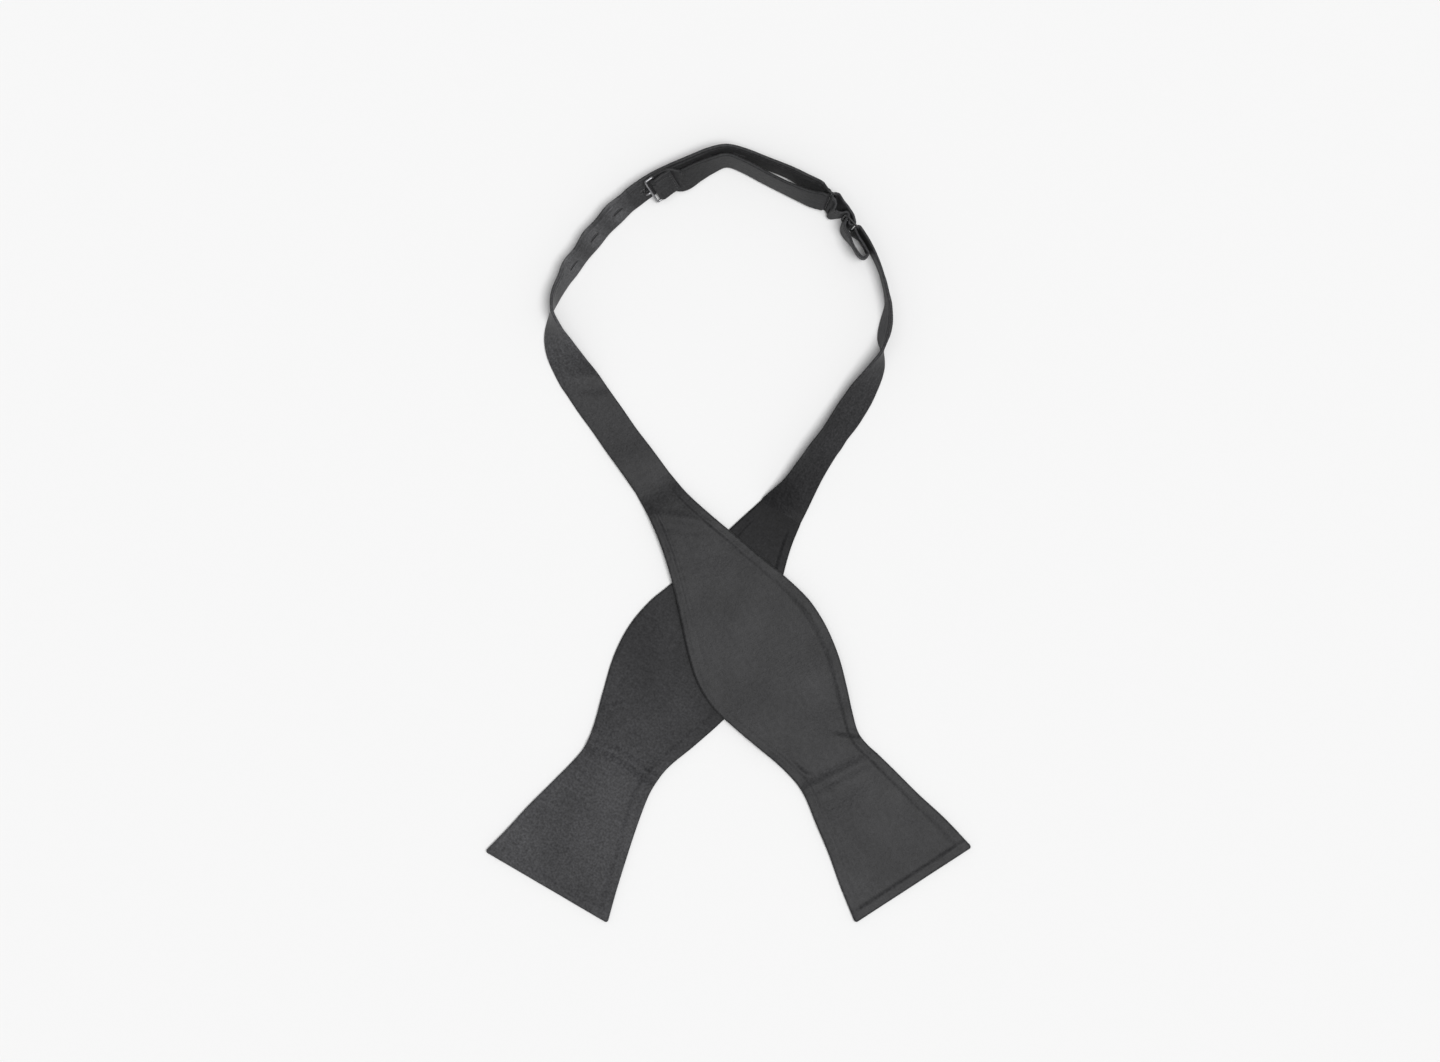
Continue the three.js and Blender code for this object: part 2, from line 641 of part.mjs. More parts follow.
function placeInFrame(geometry, frame) {
  const across = frame.along.clone().cross(frame.inward);
  const placing = new THREE.Matrix4().makeBasis(frame.along, frame.inward, across);
  placing.setPosition(frame.origin);
  return geometry.applyMatrix4(placing);
}

// Bars across the band at the given places along it, joined by a rail at each end.
function wireFrame(barPlaces) {
  const bars = barPlaces.map((place) => rod([place, 0, -RAIL_OFFSET], [place, 0, RAIL_OFFSET], WIRE));
  const rails = [-RAIL_OFFSET, RAIL_OFFSET].map((side) =>
    rod([barPlaces[0], 0, side], [barPlaces.at(-1), 0, side], WIRE));
  return [...bars, ...rails];
}

// The prong is an arc about the hook's own bar, so it leaves its slot without touching it.
function prong() {
  const inner = PRONG_RADIUS - PRONG_HALF;
  const outer = PRONG_RADIUS + PRONG_HALF;
  const start = Math.PI - 0.12;
  const end = Math.PI + PRONG_SWEEP;
  const shape = new THREE.Shape();
  shape.absarc(0, 0, outer, start, end, false);
  shape.absarc(0, 0, inner, end, start, true);
  const arc = new THREE.ExtrudeGeometry(shape, {
    depth: PRONG_WIDTH, bevelEnabled: false, curveSegments: 9,
  });
  const stem = rod([-HOOK_FRONT, 0, 0], [-PRONG_RADIUS, 0, 0], PRONG_HALF);
  return [arc.translate(0, 0, -PRONG_WIDTH / 2), stem];
}

addPart('band_hook', placeInFrame(joined([...wireFrame([-HOOK_FRONT, 0]), ...prong()]), hook), hookMetal);
addPart('joining_ring', placeInFrame(joined(wireFrame([-RING_HALF, RING_HALF])), ring), darkMetal);
addPart('three_bar_slider', placeInFrame(
  joined(wireFrame([-SLIDER_PITCH, 0, SLIDER_PITCH])), slider,
), darkMetal);

// A row of tack stitches across a strap, lying on its surface.
function tackStitches(frame, along, inward, length) {
  const row = rod([along, inward, -length / 2], [along, inward, length / 2], 0.16);
  return placeInFrame(row, frame);
}

addPart('hook_end_tack', tackStitches(hook, 7.2, 1.65 + THICK / 2 + 0.26, BAND_WIDTH - 3), thread);
addPart('slider_end_tack', tackStitches(slider, -2.7, -1.55, BAND_WIDTH - 4), thread);

// ---------------------------------------------------------------------------------------------
// The frame: the middle of the whole, at the surface it lies on.

const extent = new THREE.Box3().setFromObject(assembly);
const middle = extent.getCenter(new THREE.Vector3());
assembly.position.set(-middle.x, -middle.y, -extent.min.z);
assembly.updateMatrixWorld(true);

// Where the moving pieces turn, in the frame of the whole.
const inWhole = (point) => assembly.localToWorld(point.clone()).toArray();
const frontFold = waistFold(FRONT_TIP, FRONT_HEADING, frontTipRows);
const rearFold = waistFold(REAR_TIP, REAR_HEADING, rearTipRows);
assembly.userData.joints = {
  hook_pivot: { point: inWhole(hook.origin), axis: hook.top.toArray() },
  ring_swing: { point: inWhole(inFrame(ring, -RING_HALF, 0)), axis: ring.top.toArray() },
  slider_travel: { point: inWhole(ARC_CENTRE), axis: [0, 0, -1] },
  front_tip_fold: { point: inWhole(frontFold.point), axis: frontFold.axis.toArray() },
  rear_tip_fold: { point: inWhole(rearFold.point), axis: rearFold.axis.toArray() },
};

export default assembly;
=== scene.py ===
import json
import math

import bmesh
import bpy
import numpy as np
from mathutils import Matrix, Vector
from mathutils import noise


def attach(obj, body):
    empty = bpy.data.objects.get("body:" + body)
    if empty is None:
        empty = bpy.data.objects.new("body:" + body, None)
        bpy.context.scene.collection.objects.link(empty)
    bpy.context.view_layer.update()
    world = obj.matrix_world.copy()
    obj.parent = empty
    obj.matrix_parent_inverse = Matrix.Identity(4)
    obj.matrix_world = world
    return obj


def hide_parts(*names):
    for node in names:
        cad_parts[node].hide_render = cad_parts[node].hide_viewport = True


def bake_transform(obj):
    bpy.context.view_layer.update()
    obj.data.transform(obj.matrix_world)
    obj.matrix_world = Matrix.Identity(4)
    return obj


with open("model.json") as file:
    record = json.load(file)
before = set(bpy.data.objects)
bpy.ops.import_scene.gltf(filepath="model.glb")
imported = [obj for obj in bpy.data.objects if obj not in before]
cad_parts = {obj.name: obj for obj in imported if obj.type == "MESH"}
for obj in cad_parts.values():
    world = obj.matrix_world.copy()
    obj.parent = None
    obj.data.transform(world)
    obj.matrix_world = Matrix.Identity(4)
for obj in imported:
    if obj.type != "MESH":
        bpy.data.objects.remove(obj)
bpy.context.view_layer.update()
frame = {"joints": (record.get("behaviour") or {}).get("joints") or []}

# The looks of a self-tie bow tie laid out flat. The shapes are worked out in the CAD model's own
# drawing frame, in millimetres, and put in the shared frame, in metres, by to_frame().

MM = 0.001

# Driving dimensions, as in the CAD model.
CLOTH = 0.35                # satin
CORE = 0.4                  # interlining
THICK = 1.6                 # blade or cored band, face to back
STRAP_THICK = 1.2           # uncored end of the rear band
BAND_WIDTH = 15
WIRE = 0.6                  # radius of the hardware's wire
WRAP_AIR = 0.2
WRAP = WIRE + WRAP_AIR + THICK / 2
THIN_WRAP = WIRE + WRAP_AIR + STRAP_THICK / 2
FLOOR_GAP = 0.05

SLOT_COUNT = 7
HOOKED_SLOT = 3
HOOKED_AT = 171.8
SLOT_PITCH = 16.7
SLOT_LENGTH = 5.5
SLOT_HEIGHT = 0.9
HOOKED_SLOT_HEIGHT = 2.2

HOOK_OFFSET = 4.3
HOOK_AHEAD = 6.1
HOOK_LEAN = -2
HOOK_FRONT = 4.2
PRONG_RADIUS = 7
PRONG_SWEEP = 105

RING_HALF = 2.35
SLIDER_PITCH = 4.5
VISIBLE_WIRE = 0.52         # the CAD model's wire is a little thicker
RAIL_AT = BAND_WIDTH / 2 + 0.7      # from the middle of the band to a rail

UP = np.array([0.0, 0.0, 1.0])

joints = {joint["name"]: joint for joint in frame["joints"]}

ARC_CENTRE = np.array([5.3, 101.5, 0.0])
shift = np.array(joints["slider_travel"]["pos_m"]) / MM - ARC_CENTRE


def to_frame(points):
    return (np.asarray(points, float) + shift) * MM


def unit(vectors):
    """One vector or rows of them, at length 1."""
    vectors = np.asarray(vectors, float)
    return vectors / np.linalg.norm(vectors, axis=-1, keepdims=True)


def distances_along(points):
    steps = np.linalg.norm(np.diff(points, axis=0), axis=1)
    return np.r_[0, np.cumsum(steps)]


def turned(vector, axis, degrees):
    angle = math.radians(degrees)
    axis = unit(axis)
    across = np.cross(axis, vector)
    along = axis * np.dot(axis, vector)
    return vector * math.cos(angle) + across * math.sin(angle) + along * (1 - math.cos(angle))


def smoothstep(low, high, values):
    share = np.clip((np.asarray(values, float) - low) / (high - low), 0, 1)
    return share * share * (3 - 2 * share)


def add_object(name, data):
    made = bpy.data.objects.new(name, data)
    bpy.context.scene.collection.objects.link(made)
    return made


# Camera and light.

CAMERA_HEIGHT = 2000
VIEW_WIDTH = 691.2          # that the picture shows
VIEW_MIDDLE = (-4.1, 1.0, 0)    # the tie sits a little left of it and below it
WORLD_LIGHT = 0.25
SOFTBOX_LIGHT = 0.6
KEY_LIGHT = 2.06
FLOOR_COLOUR = (0.865, 0.865, 0.865, 1)


def add_camera():
    """Looks straight down."""
    data = bpy.data.cameras.new("camera")
    data.sensor_width = 36
    data.lens = data.sensor_width * CAMERA_HEIGHT / VIEW_WIDTH
    camera = add_object("camera", data)
    middle = to_frame(VIEW_MIDDLE)
    camera.location = (middle[0], middle[1], CAMERA_HEIGHT * MM)
    bpy.context.scene.camera = camera


def add_sun(name, toward, strength, spread):
    """A large softbox far away, seen in a direction, spread over a number of degrees."""
    data = bpy.data.lights.new(name, "SUN")
    data.energy = strength
    data.angle = math.radians(spread)
    lamp = add_object(name, data)
    lamp.rotation_mode = "QUATERNION"
    lamp.rotation_quaternion = Vector(toward).to_track_quat("Z", "Y")


def add_lights():
    world = bpy.data.worlds.new("studio")
    world.use_nodes = True
    background = world.node_tree.nodes["Background"]
    background.inputs["Color"].default_value = (1, 1, 1, 1)
    background.inputs["Strength"].default_value = WORLD_LIGHT
    bpy.context.scene.world = world
    add_sun("softbox", (0.05, 0.05, 1), SOFTBOX_LIGHT, 60)
    add_sun("key", (0.2, -0.08, 1), KEY_LIGHT, 24)


def add_floor():
    mesh = bpy.data.meshes.new("floor")
    reach = 4
    corners = [(-reach, -reach, 0), (reach, -reach, 0), (reach, reach, 0), (-reach, reach, 0)]
    mesh.from_pydata(corners, [], [(0, 1, 2, 3)])
    nodes = Nodes("pale_floor")
    nodes.shade(Base_Color=FLOOR_COLOUR, Roughness=0.9, Specular_IOR_Level=0.1)
    mesh.materials.append(nodes.material)
    add_object("floor", mesh)


# Materials.

BLACK = (0.031, 0.031, 0.0325)
CANVAS = (0.62, 0.60, 0.54)
THREAD = (0.016, 0.016, 0.018)
SLUB_WIDTH = 1.4            # of the satin's thicker threads
SLUB_LENGTH = 16


class Nodes:
    """Short ways to add and join the nodes of one material. Sizes are in millimetres."""

    def __init__(self, name):
        self.material = bpy.data.materials.new(name)
        self.material.use_nodes = True
        self.tree = self.material.node_tree
        self.shader = self.tree.nodes["Principled BSDF"]

    def feed(self, socket, value):
        if isinstance(value, bpy.types.NodeSocket):
            self.tree.links.new(value, socket)
        else:
            socket.default_value = value

    def add(self, kind, settings=None, **inputs):
        node = self.tree.nodes.new(kind)
        for key, value in (settings or {}).items():
            setattr(node, key, value)
        for key, value in inputs.items():
            self.feed(node.inputs[key.replace("_", " ")], value)
        return node

    def shade(self, **inputs):
        """Sets inputs of the material's own shader."""
        for key, value in inputs.items():
            self.feed(self.shader.inputs[key.replace("_", " ")], value)

    def math(self, operation, first, second):
        node = self.add("ShaderNodeMath", {"operation": operation})
        self.feed(node.inputs[0], first)
        self.feed(node.inputs[1], second)
        return node.outputs[0]

    def cloth_place(self):
        return self.add("ShaderNodeUVMap", {"uv_map": "cloth"}).outputs["UV"]

    def object_place(self):
        return self.add("ShaderNodeTexCoord").outputs["Object"]

    def noise(self, place, size, detail=3.0):
        node = self.add("ShaderNodeTexNoise", Vector=place, Scale=1 / (size * MM), Detail=detail)
        return node.outputs["Fac"]

    def ramp(self, value, low, high, start=0.3, end=0.7):
        node = self.add(
            "ShaderNodeMapRange", Value=value, From_Min=start, From_Max=end, To_Min=low, To_Max=high
        )
        return node.outputs["Result"]

    def threads(self, place, pitch, turn):
        """Ridges of thread, pitch apart, turned from the cloth's length."""
        mapping = self.add(
            "ShaderNodeMapping", Vector=place, Rotation=(0, 0, math.radians(turn))
        )
        wave = self.add(
            "ShaderNodeTexWave", {"wave_profile": "SIN"}, Vector=mapping.outputs[0],
            Scale=math.tau / (20 * pitch * MM), Distortion=0.6, Detail=1.0,
        )
        return wave.outputs["Fac"]

    def paint(self, colour, shade, *more_shades):
        """The base colour, made deeper or paler by one or more shades."""
        for more in more_shades:
            shade = self.math("MULTIPLY", shade, more)
        tint = self.add(
            "ShaderNodeVectorMath", {"operation": "SCALE"}, Vector=colour, Scale=shade
        )
        self.shade(Base_Color=tint.outputs["Vector"])

    def bumps(self, *maps):
        """Chains bump maps: each is (height, strength, distance)."""
        below = {}
        for height, strength, distance in maps:
            node = self.add(
                "ShaderNodeBump", Height=height, Strength=strength, Distance=distance * MM, **below
            )
            below = {"Normal": node.outputs["Normal"]}
        self.shade(**below)


def painted_shade_along(nodes, place, length, painted_tones):
    """Painted shade and sheen along the cloth: the black is made darker or paler where the satin
    catches less or more light, from (share of the length, tone) pairs.
    """
    along = nodes.add("ShaderNodeSeparateXYZ", Vector=place).outputs["Y"]
    ramp = nodes.add("ShaderNodeValToRGB", Fac=nodes.math("DIVIDE", along, length * MM))
    elements = ramp.color_ramp.elements
    while len(elements) < len(painted_tones):
        elements.new(1)
    for element, (position, tone) in zip(elements, painted_tones):
        element.position = position
        element.color = (tone, tone, tone, 1)
    return ramp.outputs["Color"]


def satin_material(name, gloss, length, painted_tones):
    """Warp-faced satin: long fine floats that run along the cloth, with a soft broken sheen."""
    nodes = Nodes(name)
    place = nodes.cloth_place()
    floats = nodes.threads(place, 0.28, 90)
    twill = nodes.threads(place, 0.55, 62)
    grain = nodes.noise(place, 1.1, 4.0)
    mottle = nodes.noise(place, 2.4)
    cloud = nodes.noise(place, 38, 2.0)
    stretched = nodes.add("ShaderNodeMapping", Vector=place, Scale=(1, SLUB_WIDTH / SLUB_LENGTH, 1))
    slub = nodes.noise(stretched.outputs[0], SLUB_WIDTH, 2.0)
    # The last shade is painted shade and sheen along the cloth; the others are the satin's own uneven
    # tone.
    nodes.paint(
        BLACK, nodes.ramp(grain, 0.62, 1.38), nodes.ramp(cloud, 0.76, 1.24),
        nodes.ramp(slub, 0.93, 1.07), nodes.ramp(twill, 0.88, 1.12, 0.0, 1.0),
        nodes.ramp(mottle, 0.84, 1.16), painted_shade_along(nodes, place, length, painted_tones),
    )
    rough = nodes.math("ADD", nodes.ramp(grain, -0.06, 0.06), nodes.ramp(slub, 0.46, 0.52))
    across = nodes.add("ShaderNodeTangent", {"direction_type": "UV_MAP", "uv_map": "cloth"})
    nodes.shade(
        Roughness=rough, Tangent=across.outputs[0], Specular_IOR_Level=gloss, Anisotropic=0.6,
        Sheen_Weight=0.3 * gloss, Sheen_Roughness=0.4,
    )
    nodes.bumps((floats, 0.35, 0.03), (twill, 0.3, 0.05), (grain, 0.7, 0.16), (mottle, 0.6, 0.2))
    return nodes.material


def canvas_material():
    """Plain-woven interlining: two sets of thread at right angles."""
    nodes = Nodes("interlining_canvas")
    place = nodes.cloth_place()
    weave = nodes.math("MULTIPLY", nodes.threads(place, 0.6, 0), nodes.threads(place, 0.6, 90))
    cloud = nodes.noise(place, 9)
    nodes.paint(CANVAS, nodes.ramp(weave, 0.75, 1.1, 0.0, 1.0), nodes.ramp(cloud, 0.92, 1.06))
    nodes.shade(Roughness=0.95, Specular_IOR_Level=0.2)
    nodes.bumps((weave, 0.6, 0.1))
    return nodes.material


def thread_material():
    """Twisted sewing thread."""
    nodes = Nodes("sewing_thread")
    place = nodes.object_place()
    twist = nodes.threads(place, 0.22, 40)
    fuzz = nodes.noise(place, 0.5)
    nodes.paint(THREAD, nodes.ramp(twist, 0.7, 1.3, 0.0, 1.0), nodes.ramp(fuzz, 0.8, 1.2))
    nodes.shade(Roughness=0.6, Sheen_Weight=0.2)
    nodes.bumps((twist, 0.5, 0.04))
    return nodes.material


def metal_material(name, colour, metallic, roughness, wear):
    """Drawn wire with fine scratches, and rubbed a little paler where it is handled."""
    nodes = Nodes(name)
    place = nodes.object_place()
    scratch = nodes.noise(place, 0.35, 5.0)
    rub = nodes.noise(place, 2.2, 2.0)
    nodes.paint(colour, nodes.ramp(rub, 1 - wear, 1 + wear))
    nodes.shade(
        Roughness=nodes.ramp(scratch, roughness - 0.06, roughness + 0.1), Metallic=metallic
    )
    nodes.bumps((scratch, 0.2, 0.02))
    return nodes.material


# Meshes.


def link_piece(name, mesh, material):
    piece = add_object(name, mesh)
    mesh.materials.append(material)
    return piece


def finish_mesh(mesh):
    """Turns every face outward and shades it smooth."""
    work = bmesh.new()
    work.from_mesh(mesh)
    bmesh.ops.recalc_face_normals(work, faces=work.faces)
    work.to_mesh(mesh)
    work.free()
    mesh.polygons.foreach_set("use_smooth", [True] * len(mesh.polygons))
    mesh.set_sharp_from_angle(angle=math.radians(60))
    mesh.update()


def grid_shell(name, outer, inner, cloth, material):
    """A closed thin shell between two grids of points, with cloth giving each column and row a
    place on the flat cloth, in millimetres."""
    points = np.concatenate([outer.reshape(-1, 3), inner.reshape(-1, 3)])
    count = len(points) // 2
    grid = np.arange(count).reshape(outer.shape[:2])
    quads = np.stack([grid[:-1, :-1], grid[:-1, 1:], grid[1:, 1:], grid[1:, :-1]], -1).reshape(-1, 4)
    rim = np.r_[grid[:, 0], grid[-1, 1:], grid[-2::-1, -1], grid[0, -2:0:-1]]
    beside = np.roll(rim, -1)
    walls = np.stack([rim, beside, count + beside, count + rim], -1)
    faces = np.concatenate([quads, count + quads[:, [0, 3, 2, 1]], walls])
    mesh = bpy.data.meshes.new(name)
    mesh.from_pydata(to_frame(points).tolist(), [], faces.tolist())
    add_cloth_map(mesh, np.tile(cloth.reshape(-1, 2), (2, 1)) * MM)
    finish_mesh(mesh)
    return link_piece(name, mesh, material)


def add_cloth_map(mesh, flat):
    layer = mesh.uv_layers.new(name="cloth")
    corners = np.zeros(len(mesh.loops), np.int32)
    mesh.loops.foreach_get("vertex_index", corners)
    layer.data.foreach_set("uv", flat[corners].astype(np.float32).ravel())


def ring_faces(rings, sides, closed):
    """Faces between rings of points, and from the last ring to the first if closed."""
    here = np.arange(rings * sides).reshape(rings, sides)
    beside = np.roll(here, -1, 1)
    quads = np.stack([here, beside, np.roll(beside, -1, 0), np.roll(here, -1, 0)], -1)
    return quads[:rings if closed else rings - 1].reshape(-1, 4).tolist()


def tube(path, radius, sides, closed):
    """Points and faces of a round rod along a path, in millimetres."""
    path = np.asarray(path, float)
    count = len(path)
    if closed:
        along = np.roll(path, -1, 0) - np.roll(path, 1, 0)
    else:
        along = np.gradient(path, axis=0)
    along = unit(along)
    radii = np.broadcast_to(radius, count)
    side = np.cross(along[0], UP if abs(along[0][2]) < 0.9 else np.array([1.0, 0, 0]))
    rings = []
    for here, course, size in zip(path, along, radii):
        side = unit(side - course * np.dot(side, course))
        other = np.cross(course, side)
        turns = np.arange(sides) * math.tau / sides
        rings.append(here + size * (np.cos(turns)[:, None] * side + np.sin(turns)[:, None] * other))
    points = np.concatenate(rings)
    faces = ring_faces(count, sides, closed)
    if not closed:
        faces.append(tuple(range(sides))[::-1])
        faces.append(tuple((count - 1) * sides + corner for corner in range(sides)))
    return points, faces


def rounded_ends(path, radius):
    """Radii that close an open rod with a round end."""
    travelled = distances_along(path)
    from_end = np.minimum(travelled, travelled[-1] - travelled)
    share = np.clip(from_end / radius, 0, 1)
    return radius * np.sqrt(np.maximum(1 - (1 - share) ** 2, 0.02))


def merge(name, solids, material):
    """One mesh from several (points, faces) lists."""
    points, faces = [], []
    for some_points, some_faces in solids:
        start = len(points)
        points.extend(to_frame(some_points).tolist())
        faces.extend(tuple(start + corner for corner in face) for face in some_faces)
    mesh = bpy.data.meshes.new(name)
    mesh.from_pydata(points, [], faces)
    finish_mesh(mesh)
    return link_piece(name, mesh, material)


def boolean(piece, tool, operation):
    """Cuts the tool out of the piece or joins it on, and removes the tool."""
    modifier = piece.modifiers.new(operation.lower(), "BOOLEAN")
    modifier.operation = operation
    modifier.solver = "EXACT"
    modifier.object = tool
    depsgraph = bpy.context.evaluated_depsgraph_get()
    made = bpy.data.meshes.new_from_object(piece.evaluated_get(depsgraph))
    piece.modifiers.clear()
    piece.data = made
    bpy.data.objects.remove(tool)


# Ribbons. A ribbon's stations are a centre, a direction across and a width.

LENGTHWISE = 1.0            # between sections of a straight ribbon
MAX_BEND = math.radians(7)


def station(centre, across, width):
    return np.r_[np.asarray(centre, float), np.asarray(across, float), width]


def hermite_slopes(knots, values):
    last = len(values) - 1
    low = np.maximum(np.arange(-1, last), 0)
    high = np.minimum(np.arange(1, last + 2), last)
    return (values[high] - values[low]) / (knots[high] - knots[low])[:, None]


def hermite(knots, values, slopes, span, share):
    gap = (knots[span + 1] - knots[span])[..., None]
    square, cube = share ** 2, share ** 3
    return (
        (2 * cube - 3 * square + 1) * values[span]
        + (cube - 2 * square + share) * gap * slopes[span]
        + (3 * square - 2 * cube) * values[span + 1]
        + (cube - square) * gap * slopes[span + 1]
    )


class Ribbon:
    """A smooth ribbon through stations, with sections close together where it bends."""

    def __init__(self, stations, first_heading=None):
        values = np.array(stations)
        gaps = np.linalg.norm(np.diff(values[:, :3], axis=0), axis=1)
        knots = np.r_[0, np.cumsum(gaps)]
        slopes = hermite_slopes(knots, values)
        samples = []
        for span, gap in enumerate(gaps):
            bend = angle_between(slopes[span][:3], slopes[span + 1][:3])
            steps = max(1, math.ceil(gap / LENGTHWISE), math.ceil(bend / MAX_BEND))
            for step in range(steps):
                samples.append(hermite(knots, values, slopes, span, step / steps))
        samples.append(values[-1])
        samples = np.array(samples)
        self.centre = samples[:, :3]
        self.width = samples[:, 6]
        tangent = np.gradient(self.centre, axis=0)
        if first_heading is not None:
            tangent[0] = first_heading
        self.tangent = unit(tangent)
        across = samples[:, 3:6]
        across = across - self.tangent * np.sum(across * self.tangent, axis=1)[:, None]
        self.across = unit(across)
        self.normal = np.cross(self.across, self.tangent)
        self.travelled = distances_along(self.centre)

    def at(self, distance):
        """The frame at a distance along the ribbon."""
        def mix(values):
            return np.array([np.interp(distance, self.travelled, column) for column in values.T])
        return {
            "centre": mix(self.centre), "across": unit(mix(self.across)),
            "normal": unit(mix(self.normal)), "tangent": unit(mix(self.tangent)),
        }


def angle_between(first, second):
    return math.acos(np.clip(np.dot(unit(first), unit(second)), -1, 1))


def band_stations(rows, before, after):
    """Stations of a band from rows of plan x, plan y, roll, width and lift."""
    line = [before, *rows, after]
    made = []
    for index, row in enumerate(rows):
        x, y, roll, width = row[:4]
        lift = row[4] if len(row) > 4 else 0
        previous, follow = line[index], line[index + 2]
        right = unit([follow[1] - previous[1], previous[0] - follow[0], 0])
        turn = math.radians(roll)
        across = right * math.cos(turn) + UP * math.sin(turn)
        rest = (width * abs(math.sin(turn)) + THICK * abs(math.cos(turn))) / 2
        made.append(station([x, y, rest + FLOOR_GAP + lift], across, width))
    return made


def hardware_frame(origin, along, lean):
    along = unit(along)
    outward = np.array([-along[1], along[0], 0])
    tilt = math.radians(lean)
    return {
        "origin": np.asarray(origin, float),
        "along": along,
        "inward": -outward * math.cos(tilt) + UP * math.sin(tilt),
        "top": outward * math.sin(tilt) + UP * math.cos(tilt),
    }


def in_frame(place, along, inward, across=0):
    """A point in a piece of hardware's own frame, or rows of points from columns of numbers."""
    third = np.cross(place["along"], place["inward"])
    return place["origin"] + along * place["along"] + inward * place["inward"] + across * third


def frame_stations(place, across, rows):
    return [station(in_frame(place, *row), across, BAND_WIDTH) for row in rows]


def wrap_stations(place, across, middle, radius, start, end, count):
    """Stations round a bar. 0 degrees points along the frame and 90 inward."""
    rows = []
    for angle in np.radians(np.linspace(start, end, count + 1)):
        rows.append((middle[0] + radius * math.cos(angle), middle[1] + radius * math.sin(angle)))
    return frame_stations(place, across, rows)


# Blades. A blade lies along a straight axis: u is the distance from its end edge, v the distance
# to the right of the axis, both in millimetres.

LOW = THICK / 2
OVER = LOW + THICK + 0.6
DRAPE = 0.45                # the front blade's extra height where it lies on the rear one
ROLL = 0.9                  # radius of a blade's turned edge, seen from above
LIP = 0.06                  # half the gap between the two panels at the edge seam
CORNER = 1.6                # radius of a blade's turned-out corners

# Rows: distance from the end edge, left edge, right edge, height of the middle.
# Borders: where the turned-in seam allowance ends, inside each edge, at distances along the blade.
# Creases: from (u, v) to (u, v), half width, height. Bumps: (u, v), radius, height.
FRONT = {
    "name": "front",
    "tip": [88.8, -168.9, 0],
    "heading": [-0.546, 0.838, 0],
    "rows": [
        [0, -33.5, 33.5, LOW], [19, -29.8, 30, LOW], [35, -26, 25.9, LOW], [51, -23.1, 22.5, LOW],
        [62, -20.9, 20, LOW], [69, -20.4, 18.2, LOW], [76, -21.2, 17.8, LOW + 0.3],
        [85, -23.2, 20.5, LOW + 0.9], [97, -26.9, 25, OVER - 0.4], [110, -30.8, 29.4, OVER],
        [122, -33.8, 32, OVER], [132, -34.4, 33, OVER], [143, -32.8, 32.6, OVER],
        [158, -27.8, 29.1, OVER], [172, -22.4, 24.6, OVER], [186, -17.4, 20.4, OVER],
        [202, -12.9, 15.5, OVER - 0.1], [217, -10.2, 11.6, OVER - 0.6],
        [230, -9.1, 9.9, OVER - 1.2],
    ],
    "borders": {
        "left": [(0, 5.5), (69, 5), (116, 4), (150, 5), (195, 4.5), (230, 4)],
        "right": [(0, 5.5), (69, 4.5), (102, 5), (154, 5), (230, 4)],
        "end": 5,
    },
    "creases": [
        [(83, 9), (74, 19.5), 1.7, 0.5], [(79.5, 8), (71, 18), 1.5, -0.2],
        [(82, -15), (72, -12), 1.7, 0.45], [(77, -17), (68, -11), 1.5, -0.2],
        [(67, -20), (64, -4), 3.4, 0.55], [(65, -6), (62, 16), 3.2, 0.5],
        [(57, -16), (55, 12), 5, -0.2], [(143, -26), (130, -29), 1.8, 0.35],
        [(217, -7), (199, 13), 2.4, 0.4], [(211, -8), (196, 8), 2, -0.15],
        [(156, 26), (136, 31), 3, 0.3], [(112, 26), (88, 18), 2.6, 0.3],
    ],
    "bumps": [[(37, -5), 13, 0.6], [(160, 3), 22, 0.5], [(112, 6), 18, 0.55], [(24, 16), 12, 0.35]],
    "seed": 11,
    "swell": lambda u: 1.3 * np.ones_like(u),
}
REAR = {
    "name": "rear",
    "tip": [-87.4, -170, 0],
    "heading": [0.505, 0.863, 0],
    "rows": [
        [0, -34.2, 34, LOW], [15, -30.4, 30, LOW], [29, -27.4, 26.7, LOW],
        [45, -23.2, 23.2, LOW], [60, -19.4, 20.5, LOW], [68, -18.3, 20, LOW],
        [79, -19.8, 21.4, LOW], [95, -24.1, 27.2, LOW], [112, -28.2, 32.7, LOW],
        [128, -29.2, 36.4, LOW], [143, -26.7, 37, LOW], [155, -22.4, 34.2, LOW],
        [170, -17.6, 28.6, LOW], [186, -13, 22.7, LOW], [200, -8.8, 19, LOW + 0.06],
        [212, -5, 17.2, LOW + 0.5],
    ],
    "borders": {
        "left": [(0, 6.5), (35, 7), (61, 8), (88, 5), (120, 4), (133, 8), (147, 9), (212, 4)],
        "right": [(0, 5), (31, 5), (59, 7), (78, 5.5), (99, 6.5), (128, 5), (212, 4)],
        "end": 4.5,
    },
    "creases": [
        [(70, -18), (72.5, -3), 2.8, 1.1], [(73, -5), (71, 20), 2.8, 1.1],
        [(64, -18), (62, -1), 3.2, -0.2], [(62, -3), (65, 20), 3.2, -0.2],
        [(79, -18), (80, -6), 1.7, 0.5], [(88, -19), (96, -10), 1.8, 0.35],
        [(83, 16), (76, 10), 1.5, 0.4], [(79, 17), (73, 11), 1.3, -0.2],
        [(140, -22), (133, -12), 2.2, 0.3],
    ],
    "bumps": [[(33, 0), 14, 0.6], [(84, 2), 9, 0.6], [(105, -8), 13, 0.3]],
    "seed": 37,
    "swell": lambda u: 1.2 - 1.0 * smoothstep(85, 110, u),
}


def spaced(row_values, at):
    """Smooth values at given distances, from rows of [distance, value, value...]."""
    rows = np.array(row_values, float)
    knots, values = rows[:, 0], rows[:, 1:]
    slopes = hermite_slopes(knots, values)
    span = np.clip(np.searchsorted(knots, at) - 1, 0, len(knots) - 2)
    share = (at - knots[span]) / (knots[span + 1] - knots[span])
    return hermite(knots, values, slopes, span, share[:, None])


